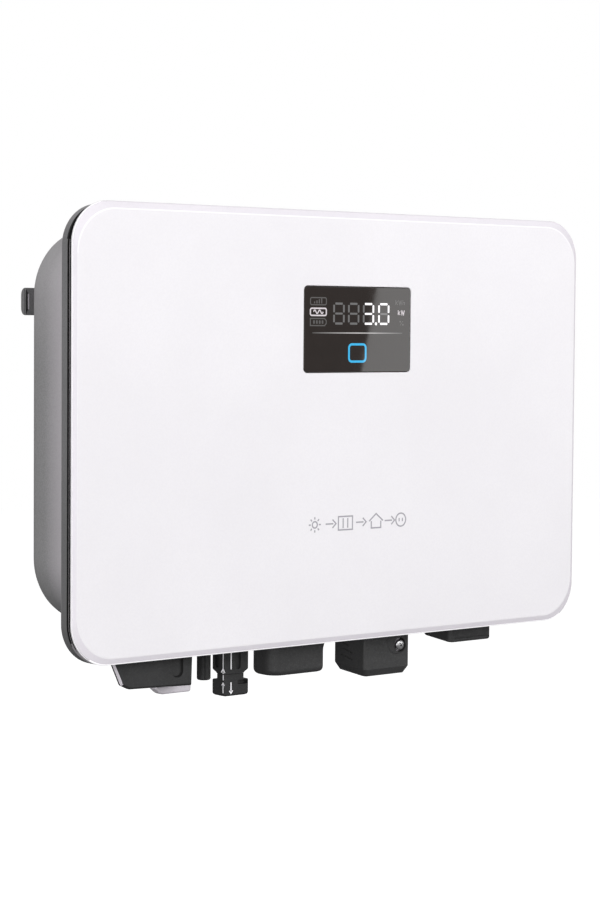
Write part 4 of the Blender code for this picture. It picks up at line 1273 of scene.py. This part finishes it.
def make_positive_socket():
    """The larger panel connector: a block with latch slots on its faces and a neck through the tub."""
    left, right, _, far, low, high = span("pv_positive_socket")
    u, v = axis_of("pv_positive_socket")

    def chamfered(level, reach):
        """The section with its right end and its rear, but not its front and left, drawn in."""
        rear = v + PV_HALF_DEPTH - 1.3 * reach
        edges = (u - PV_HALF_WIDTH, u + PV_HALF_WIDTH - reach, v - PV_HALF_DEPTH, rear)
        return rectangle(*edges, 0.0012, 6), level

    sections = [
        chamfered(low, 0.0034),
        chamfered(low + 0.0008, 0.0026),
        chamfered(low + 0.0020, 0.0004),
        chamfered(low + 0.0026, 0.0),
        chamfered(UNDER, 0.0),
    ]
    socket = new_object("pv_socket_body", loft(sections, upright))
    shape(socket, [prism(circle(u, v, 0.007), UNDER - 0.004, high, upright)], "UNION")
    front = v - PV_HALF_DEPTH
    slot_depth = 0.0014
    slot = rectangle(u - 0.0007, u + 0.0031, low + 0.0026, UNDER + 0.004, 0.0018, 8)
    side_slot = rectangle(v - 0.0015, v + 0.0034, low + 0.0034, UNDER + 0.004, 0.0022, 8)
    far_slot = [(2 * v - depth, z) for depth, z in side_slot]
    tools = [
        prism(circle(u, v, 0.0043), low - 0.001, low + 0.0150, upright),
        prism(slot, front - 0.001, front + slot_depth, frontal),
        prism(side_slot, left - 0.001, left + slot_depth, sideways),
        prism(far_slot, right - slot_depth, right + 0.001, sideways),
        prism(slot, far - slot_depth, far + 0.001, frontal),
    ]
    shape(socket, tools)
    piece(socket, BLACK_PLASTIC_AND_SHADE, "black_plastic", "pv_positive_socket")


def make_dust_plug():
    """The plug that closes the larger connector: a waisted neck, a block with a notch, and a stem inside."""
    _, right, near, _, low, high = span("pv_dust_plug")
    u, v = axis_of("pv_dust_plug")
    socket_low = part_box("pv_positive_socket")[0].z
    sections = [
        (pv_body(u, v, 0.0012), low),
        (pv_body(u, v, 0.0004), low + 0.0005),
        (pv_body(u, v), low + 0.0014),
        (pv_body(u, v), PLUG_TOP - 0.0004),
        (pv_body(u, v, 0.0003), PLUG_TOP),
    ]
    plug = new_object("pv_plug_body", loft(sections, upright))
    waist_left = u - PV_HALF_WIDTH + 0.0001
    waist_front = v - PV_HALF_DEPTH + 0.0001
    waist = rectangle(waist_left, u + 0.0061, waist_front, v + PV_HALF_DEPTH - 0.0046, 0.0012, 6)
    neck = prism(waist, socket_low - 0.006, socket_low - GAP, upright)
    stem = prism(circle(u, v, 0.0040), socket_low - 0.006, high, upright)
    shape(plug, [neck, stem], "UNION")
    notch = rectangle(u + 0.0009, right - 0.0007, PLUG_TOP - 0.0030, PLUG_TOP - 0.0003, 0.0008, 4)
    shape(plug, [prism(notch, near - 0.001, near + 0.0032, frontal)])
    piece(plug, BLACK_PLASTIC_AND_SHADE, "black_plastic", "pv_dust_plug", body="dust_plug")


def make_arrows():
    """White printed arrows that show which way the connector opens, on its left and front faces."""
    # The white print is given a faint glow: painted light.
    ink = print_ink("white_print", (0.88, 0.87, 0.90), 0.95, 0.14)
    left, _, near, _, low, _ = span("pv_positive_socket")
    plug_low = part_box("pv_dust_plug")[0].z
    thick = 0.00004
    width = 0.0008

    def marks(name, node_body, lines, level, place):
        bm = bmesh.new()
        for points in lines:
            prism(ribbon(points, width), level - thick, level + thick, place, bm)
        piece(new_object(name, bm), ink, "light_plastic", body=node_body)

    def head(u, v, size):
        """An arrow head with its tip at (u, v). A negative size points down."""
        return [(u - abs(size) * 0.8, v - size), (u, v), (u + abs(size) * 0.8, v - size)]

    side_u = near + 0.0019
    front_u = axis_of("pv_positive_socket")[0] - 0.0048
    side_stem = [(side_u, low + 0.0003), (side_u, UNDER - 0.0040)]
    front_stem = [(front_u, low + 0.0030), (front_u, UNDER - 0.0040)]
    plug_side_stem = [(side_u, plug_low + 0.0022), (side_u, PLUG_TOP - 0.0030)]
    neck_stem = [(side_u, PLUG_TOP + 0.0002), (side_u, low - 0.0004)]
    plug_front_stem = [(front_u, PLUG_TOP - 0.0012), (front_u, plug_low + 0.0036)]
    side_head = head(side_u, low + 0.0034, 0.0024)
    plug_side_head = head(side_u, PLUG_TOP - 0.0015, 0.0016)
    plug_front_head = head(front_u, plug_low + 0.0020, -0.0016)
    marks("socket_side_mark", "casing", [side_stem, side_head], left, sideways)
    marks("socket_front_mark", "casing", [front_stem], near, frontal)
    marks("plug_side_mark", "dust_plug", [plug_side_stem, plug_side_head], left, sideways)
    marks("plug_neck_mark", "dust_plug", [neck_stem], left + 0.0001, sideways)
    marks("plug_front_mark", "dust_plug", [plug_front_stem, plug_front_head], near, frontal)


def make_negative_socket():
    """The slim fluted connector pin."""
    _, _, _, _, low, high = span("pv_negative_socket")
    u, v = axis_of("pv_negative_socket")
    radius = 0.00435
    sides = 72

    def fluted(inset, depth):
        points = []
        for side in range(sides):
            turn = 2 * math.pi * side / sides
            groove = depth * max(0.0, math.cos(6 * turn)) ** 2
            reach = radius - inset - groove
            points.append((u + reach * math.cos(turn), v + reach * math.sin(turn)))
        return points

    def round_outline(size):
        return circle(u, v, size, sides)

    sections = [
        (round_outline(0.0024), low + 0.020),
        (round_outline(0.0024), low + 0.0003),
        (round_outline(0.0027), low),
        (fluted(0.0010, 0.0002), low),
        (fluted(0.0004, 0.0005), low + 0.0003),
        (fluted(0.0, 0.0007), low + 0.0010),
        (fluted(0.0, 0.0007), UNDER - 0.008),
        (round_outline(radius), UNDER - 0.0075),
        (round_outline(radius), UNDER - 0.003),
        (round_outline(0.0085), UNDER - 0.003),
        (round_outline(0.0085), UNDER),
        (round_outline(0.007), UNDER),
        (round_outline(0.007), high),
    ]
    piece(new_object("pv_pin_body", loft(sections, upright)), BLACK_PLASTIC_AND_SHADE, "black_plastic", "pv_negative_socket")


def cup(sections_of, levels, floor_level, wall):
    """Sections of an open-topped cover: up its outside by levels, over the rim, and down its inside."""
    sections = [(sections_of(level, 0.0), level) for level in levels]
    inner_levels = [level for level in reversed(levels) if level > floor_level]
    sections += [(sections_of(level, wall), level) for level in inner_levels]
    sections.append((sections_of(floor_level, wall), floor_level))
    return sections


def make_com_cover():
    """The communication cover: smooth, with a well-rounded lower edge and a slight flare at its top."""
    left, right, near, far, low, high = span("com_cover")
    rounding = 0.0038
    wall = 0.002
    rear_corner = 0.0090
    front_corner = 0.0110
    right_corner = 0.0020
    flare_width = 0.0040
    flare_depth = 0.0090
    flare_start = BOTTOM - flare_depth

    def outline(level, inset):
        up = min((level - low) / rounding, 1.0)
        rise = 1 - math.sqrt(max(0.0, 1 - (1 - up) ** 2))
        drawn = inset + rise * rounding
        flare = flare_width * min(max(0.0, (level - flare_start) / flare_depth), 1.0) ** 2
        edges = (left - 0.0008 + drawn, right - 0.0004 + flare - drawn, near + drawn, far - drawn)
        corners = (right_corner, rear_corner, front_corner, right_corner)
        sizes = [max(corner - drawn, 0.0008) for corner in corners]
        return rectangle(*edges, tuple(sizes), 10)

    levels = [low + along for _, along in quarter_round(rounding, 8)]
    levels += [flare_start + flare_depth * step / 8 for step in range(9)]
    levels.append(high)
    cover = new_object("com_port_cover", loft(cup(outline, levels, low + wall, wall), upright))
    hole = circle(*axis_of("com_bung"), 0.0068)
    shape(cover, [prism(hole, low - 0.001, low + wall + 0.001, upright)])
    piece(cover, CHARCOAL, "black_plastic", "com_cover")


def make_ac_cover():
    """The grid connector's cover: a chamfered lower edge, three ribs on its left and a sunk screw."""
    left, right, near, far, low, high = span("ac_cover")
    chamfer = 0.0049
    slope = 0.49
    wall = 0.002

    def outline(level, inset):
        up = min((level - low) / chamfer, 1.0)
        drawn = inset + (1 - up) * chamfer * slope
        corners = (0.0012, 0.0012, 0.0024, 0.0012)
        return rectangle(left + drawn, right - drawn, near + drawn, far - drawn, corners, 6)

    def dished(u, v, radius, depth, mouth_radius, mouth, sides=32):
        """The tool for a round hollow in the front that widens towards its mouth."""
        floor = (circle(u, v, radius, sides), near + depth)
        return loft([floor, (circle(u, v, mouth_radius, sides), near - mouth)], frontal)

    levels = [low, low + chamfer, high]
    cover = new_object("grid_port_cover", loft(cup(outline, levels, low + wall, wall), upright), 20)
    entry = circle(*axis_of("ac_bung"), 0.0088)
    u, v = middle_of("ac_cover_screw")
    tools = [
        prism(entry, low - 0.001, low + wall + 0.001, upright),
        dished(u, v, 0.0046, 0.0022, 0.0050, 0.001),
        dished(u - 0.0030, v + 0.0023, 0.0076, 0.0008, 0.0090, 0.0006, 48),
        prism(circle(u, v, 0.0023), near - 0.001, near + wall + 0.001, frontal),
    ]
    shape(cover, tools, sharp_angle=20)
    ribs = []
    for rib_near, rib_far, rib_drop in (
        (0.0415, 0.0486, 0.0109),
        (0.0380, 0.0462, 0.0153),
        (0.0374, 0.0485, 0.0198),
    ):
        level = BOTTOM - rib_drop
        rib = ribbon([(rib_near, level - 0.0004), (rib_far, level + 0.0012)], 0.0009)
        ribs.append(prism(rib, left - 0.0006, left + 0.0005, sideways))
    shape(cover, ribs, "UNION", sharp_angle=20)
    raise_rear(cover, "ac_cover", 0.0027)
    piece(cover, CHARCOAL, "black_plastic", "ac_cover")
    seat = frontal(u, v, near + 0.0014)
    sizes = (0.0034, 0.0019, 0.0020, 0.013)
    pan_screw("grid_cover_screw", seat, (0, -1, 0), (0.85, 0, 0.53), *sizes, "ac_cover_screw")


def make_accessory_cap():
    """The low cap over the accessory port, with a groove along its front and a pull tab on its right."""
    left, _, near, far, low, high = span("accessory_cap")
    right = left + 0.0385
    wall = 0.002

    def outline(level, inset):
        drawn = inset + 0.0010 * (1 - min((level - low) / 0.0010, 1.0)) ** 2
        return rectangle(left + drawn, right - drawn, near + drawn, far - drawn, max(0.004 - drawn, 0.001), 8)

    levels = [low, low + 0.0002, low + 0.0005, low + 0.0010, high]
    cap = new_object("accessory_port_cap", loft(cup(outline, levels, low + wall, wall), upright))
    groove = rectangle(left + 0.004, right + 0.001, low + 0.0026, low + 0.0036)
    shape(cap, [prism(groove, near - 0.001, near + 0.0010, frontal)])
    tab = rectangle(right - 0.001, right + 0.0016, low + 0.0040, low + 0.0066, 0.0010, 5)
    shape(cap, [prism(tab, near + 0.004, near + 0.009, frontal)], "UNION")
    raise_rear(cap, "accessory_cap", 0.0030)
    piece(cap, CHARCOAL, "black_plastic", "accessory_cap")


def make_vent():
    """The pressure vent: a round cap with slots round its edge."""
    _, _, _, _, low, high = span("pressure_vent")
    u, v = axis_of("pressure_vent")
    cap = 0.0070
    neck = 0.0045
    corners = [(0, low), (cap, low, 0.0010), (cap, UNDER), (neck, UNDER), (neck, high), (0, high)]
    profile = filleted(corners, closed=False)
    vent = new_object("vent_cap", turned(profile, upright(u, v, 0), (0, 0, 1), 48))
    slots = []
    for middle in circle(u, v, cap, 12):
        slots.append(prism(circle(*middle, 0.0006, 8), low + 0.0009, UNDER - 0.0006, upright))
    shape(vent, slots)
    piece(vent, BLACK_PLASTIC_AND_SHADE, "black_plastic", "pressure_vent")


def make_earth_screw():
    _, _, near, far, low, high = span("earth_screw")
    wall = RIGHT - TUB_INSET
    seat = (wall + GAP, FRONT_Y + (near + far) / 2, (low + high) / 2)
    sizes = (0.0045, 0.0034, 0.0025, 0.006)
    pan_screw("earth_terminal_screw", seat, (1, 0, 0), (0, 0.8, 0.6), *sizes, "earth_screw")


def finish_inside():
    """Materials for the CAD pieces that keep their own meshes."""
    finishes = {
        SCREW: ("dc_switch_shaft", *(f"board_standoff_{i}" for i in range(1, 5))),
        BOARD: ("main_board", "control_board", "display_board"),
        COPPER: ("boost_inductor", "filter_inductor", "emi_choke"),
        PAD: ("thermal_pad",),
        GUIDE: ("indicator_light_guide",),
        RUBBER_AND_SHADE: ("ac_bung", "com_bung"),
        LIGHT_PLASTIC_AND_HIGHLIGHT: ("ac_terminal_block",),
        BLACK_PLASTIC_AND_SHADE: (
            "digit_display",
            "power_module",
            "dc_switch_body",
            "com_socket",
            "accessory_socket",
            "pv_positive_nut",
            "pv_negative_nut",
            "grid_relay_1",
            "grid_relay_2",
            *(f"dc_link_capacitor_{i}" for i in range(1, 5)),
        ),
    }
    for material, nodes in finishes.items():
        for node in nodes:
            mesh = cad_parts[node].data
            mesh.materials.clear()
            mesh.materials.append(material)


# ---------------------------------------------------------------- studio


def make_camera():
    """A camera left of the front and a little above the middle, looking slightly down."""
    yaw = math.radians(39.299)
    pitch = math.radians(3.015)
    roll = math.radians(0.428)
    forward = Vector((math.sin(yaw), math.cos(yaw), 0))
    right = Vector((math.cos(yaw), -math.sin(yaw), 0))
    up = Vector((0, 0, 1))
    view = forward * math.cos(pitch) - up * math.sin(pitch)
    above = up * math.cos(pitch) + forward * math.sin(pitch)
    x_axis = right * math.cos(roll) + above * math.sin(roll)
    y_axis = above * math.cos(roll) - right * math.sin(roll)
    data = bpy.data.cameras.new("camera")
    data.lens = 94.87
    camera = bpy.data.objects.new("camera", data)
    camera.matrix_world = Matrix.Translation((-0.963612, -1.281632, -0.013513)) @ Matrix(
        (x_axis, y_axis, -view)
    ).transposed().to_4x4()
    bpy.context.scene.collection.objects.link(camera)
    bpy.context.scene.camera = camera


def add_light(name, location, target, size, power, spin=0.0):
    data = bpy.data.lights.new(name, "AREA")
    data.shape = "RECTANGLE"
    data.size, data.size_y = size
    data.energy = power
    light = bpy.data.objects.new(name, data)
    aim = (Vector(target) - Vector(location)).to_track_quat("-Z", "Y").to_matrix().to_4x4()
    light.matrix_world = Matrix.Translation(location) @ aim @ Matrix.Rotation(spin, 4, "Z")
    light.visible_camera = False
    bpy.context.scene.collection.objects.link(light)


def make_studio():
    """A pale floor, soft even light, lamps in front and at the sides, and a card that the display mirrors."""
    floor_z = -0.46
    half = 3.5
    bm = bmesh.new()
    bmesh.ops.create_grid(bm, x_segments=4, y_segments=4, size=half)
    floor = new_object("floor", bm)
    floor.location = (0, 0, floor_z)
    paper = Shader("floor_paper", (0.86, 0.86, 0.865), 0.8)
    paper.mottled((0.90, 0.90, 0.905), 3, 0.8).relief(300, 0.0002, 0.2).glow((1, 1, 1), 0.0)
    # Seen directly the paper is lit from below; it throws only a little of that on the object.
    seen = paper.tree.nodes.new("ShaderNodeLightPath").outputs["Is Camera Ray"]
    paper.link(paper.ramp(seen, 0, 1, 0.0, 0.62), paper.surface.inputs["Emission Strength"])
    bounced = paper.tree.nodes.new("ShaderNodeMath")
    bounced.operation = "SUBTRACT"
    bounced.inputs[0].default_value = 1.0
    paper.link(seen, bounced.inputs[1])
    paper.tint(bounced.outputs["Value"], (0.16, 0.16, 0.163))
    floor.data.materials.append(paper.material)

    world = bpy.data.worlds.new("studio")
    bpy.context.scene.world = world
    world.use_nodes = True
    nodes = world.node_tree.nodes
    links = world.node_tree.links
    background = nodes["Background"]
    path = nodes.new("ShaderNodeLightPath")
    strength = nodes.new("ShaderNodeMapRange")
    strength.inputs["To Min"].default_value = 0.42
    strength.inputs["To Max"].default_value = 1.0
    links.new(path.outputs["Is Camera Ray"], strength.inputs["Value"])
    links.new(strength.outputs["Result"], background.inputs["Strength"])
    background.inputs["Color"].default_value = (1, 1, 1, 1)

    add_light("key", (0.3, -2.4, 0.75), (0, -0.15, -0.08), (1.6, 1.2), 30)
    add_light("front_left", (-1.6, -1.3, -0.15), (-0.05, -0.13, -0.18), (0.8, 0.8), 16)
    add_light("right_top", (0.9, -1.1, 0.55), (0.2, -0.15, 0.05), (0.4, 0.4), 2.6)
    add_light("left_fill", (-1.5, -0.10, 0.75), (-0.19, -0.11, -0.02), (1.0, 1.0), 9)

    # The card's left edge crosses the display's mirror image right of its middle, leaning to the right.
    lean = math.radians(12.8)
    edge = Vector((1.1971, -1.5079, -0.0189))
    width = 0.7
    centre = edge + Vector((math.cos(lean), 0, -math.sin(lean))) * (width / 2)
    add_light("display_card", centre, centre + Vector((0, 1, 0)), (width, 0.9), 5.0, spin=-lean)

    bpy.context.scene.view_settings.view_transform = "Standard"


make_camera()
make_front_cover()
make_layers()
make_display()
make_front_print()
make_tub()
make_lid_screws()
make_heat_sink()
make_hanger_bar()
make_bar_bolts()
make_bracket()
make_guard()
make_knob()
make_positive_socket()
make_dust_plug()
make_arrows()
make_negative_socket()
make_com_cover()
make_ac_cover()
make_accessory_cap()
make_vent()
make_earth_screw()
finish_inside()
make_studio()
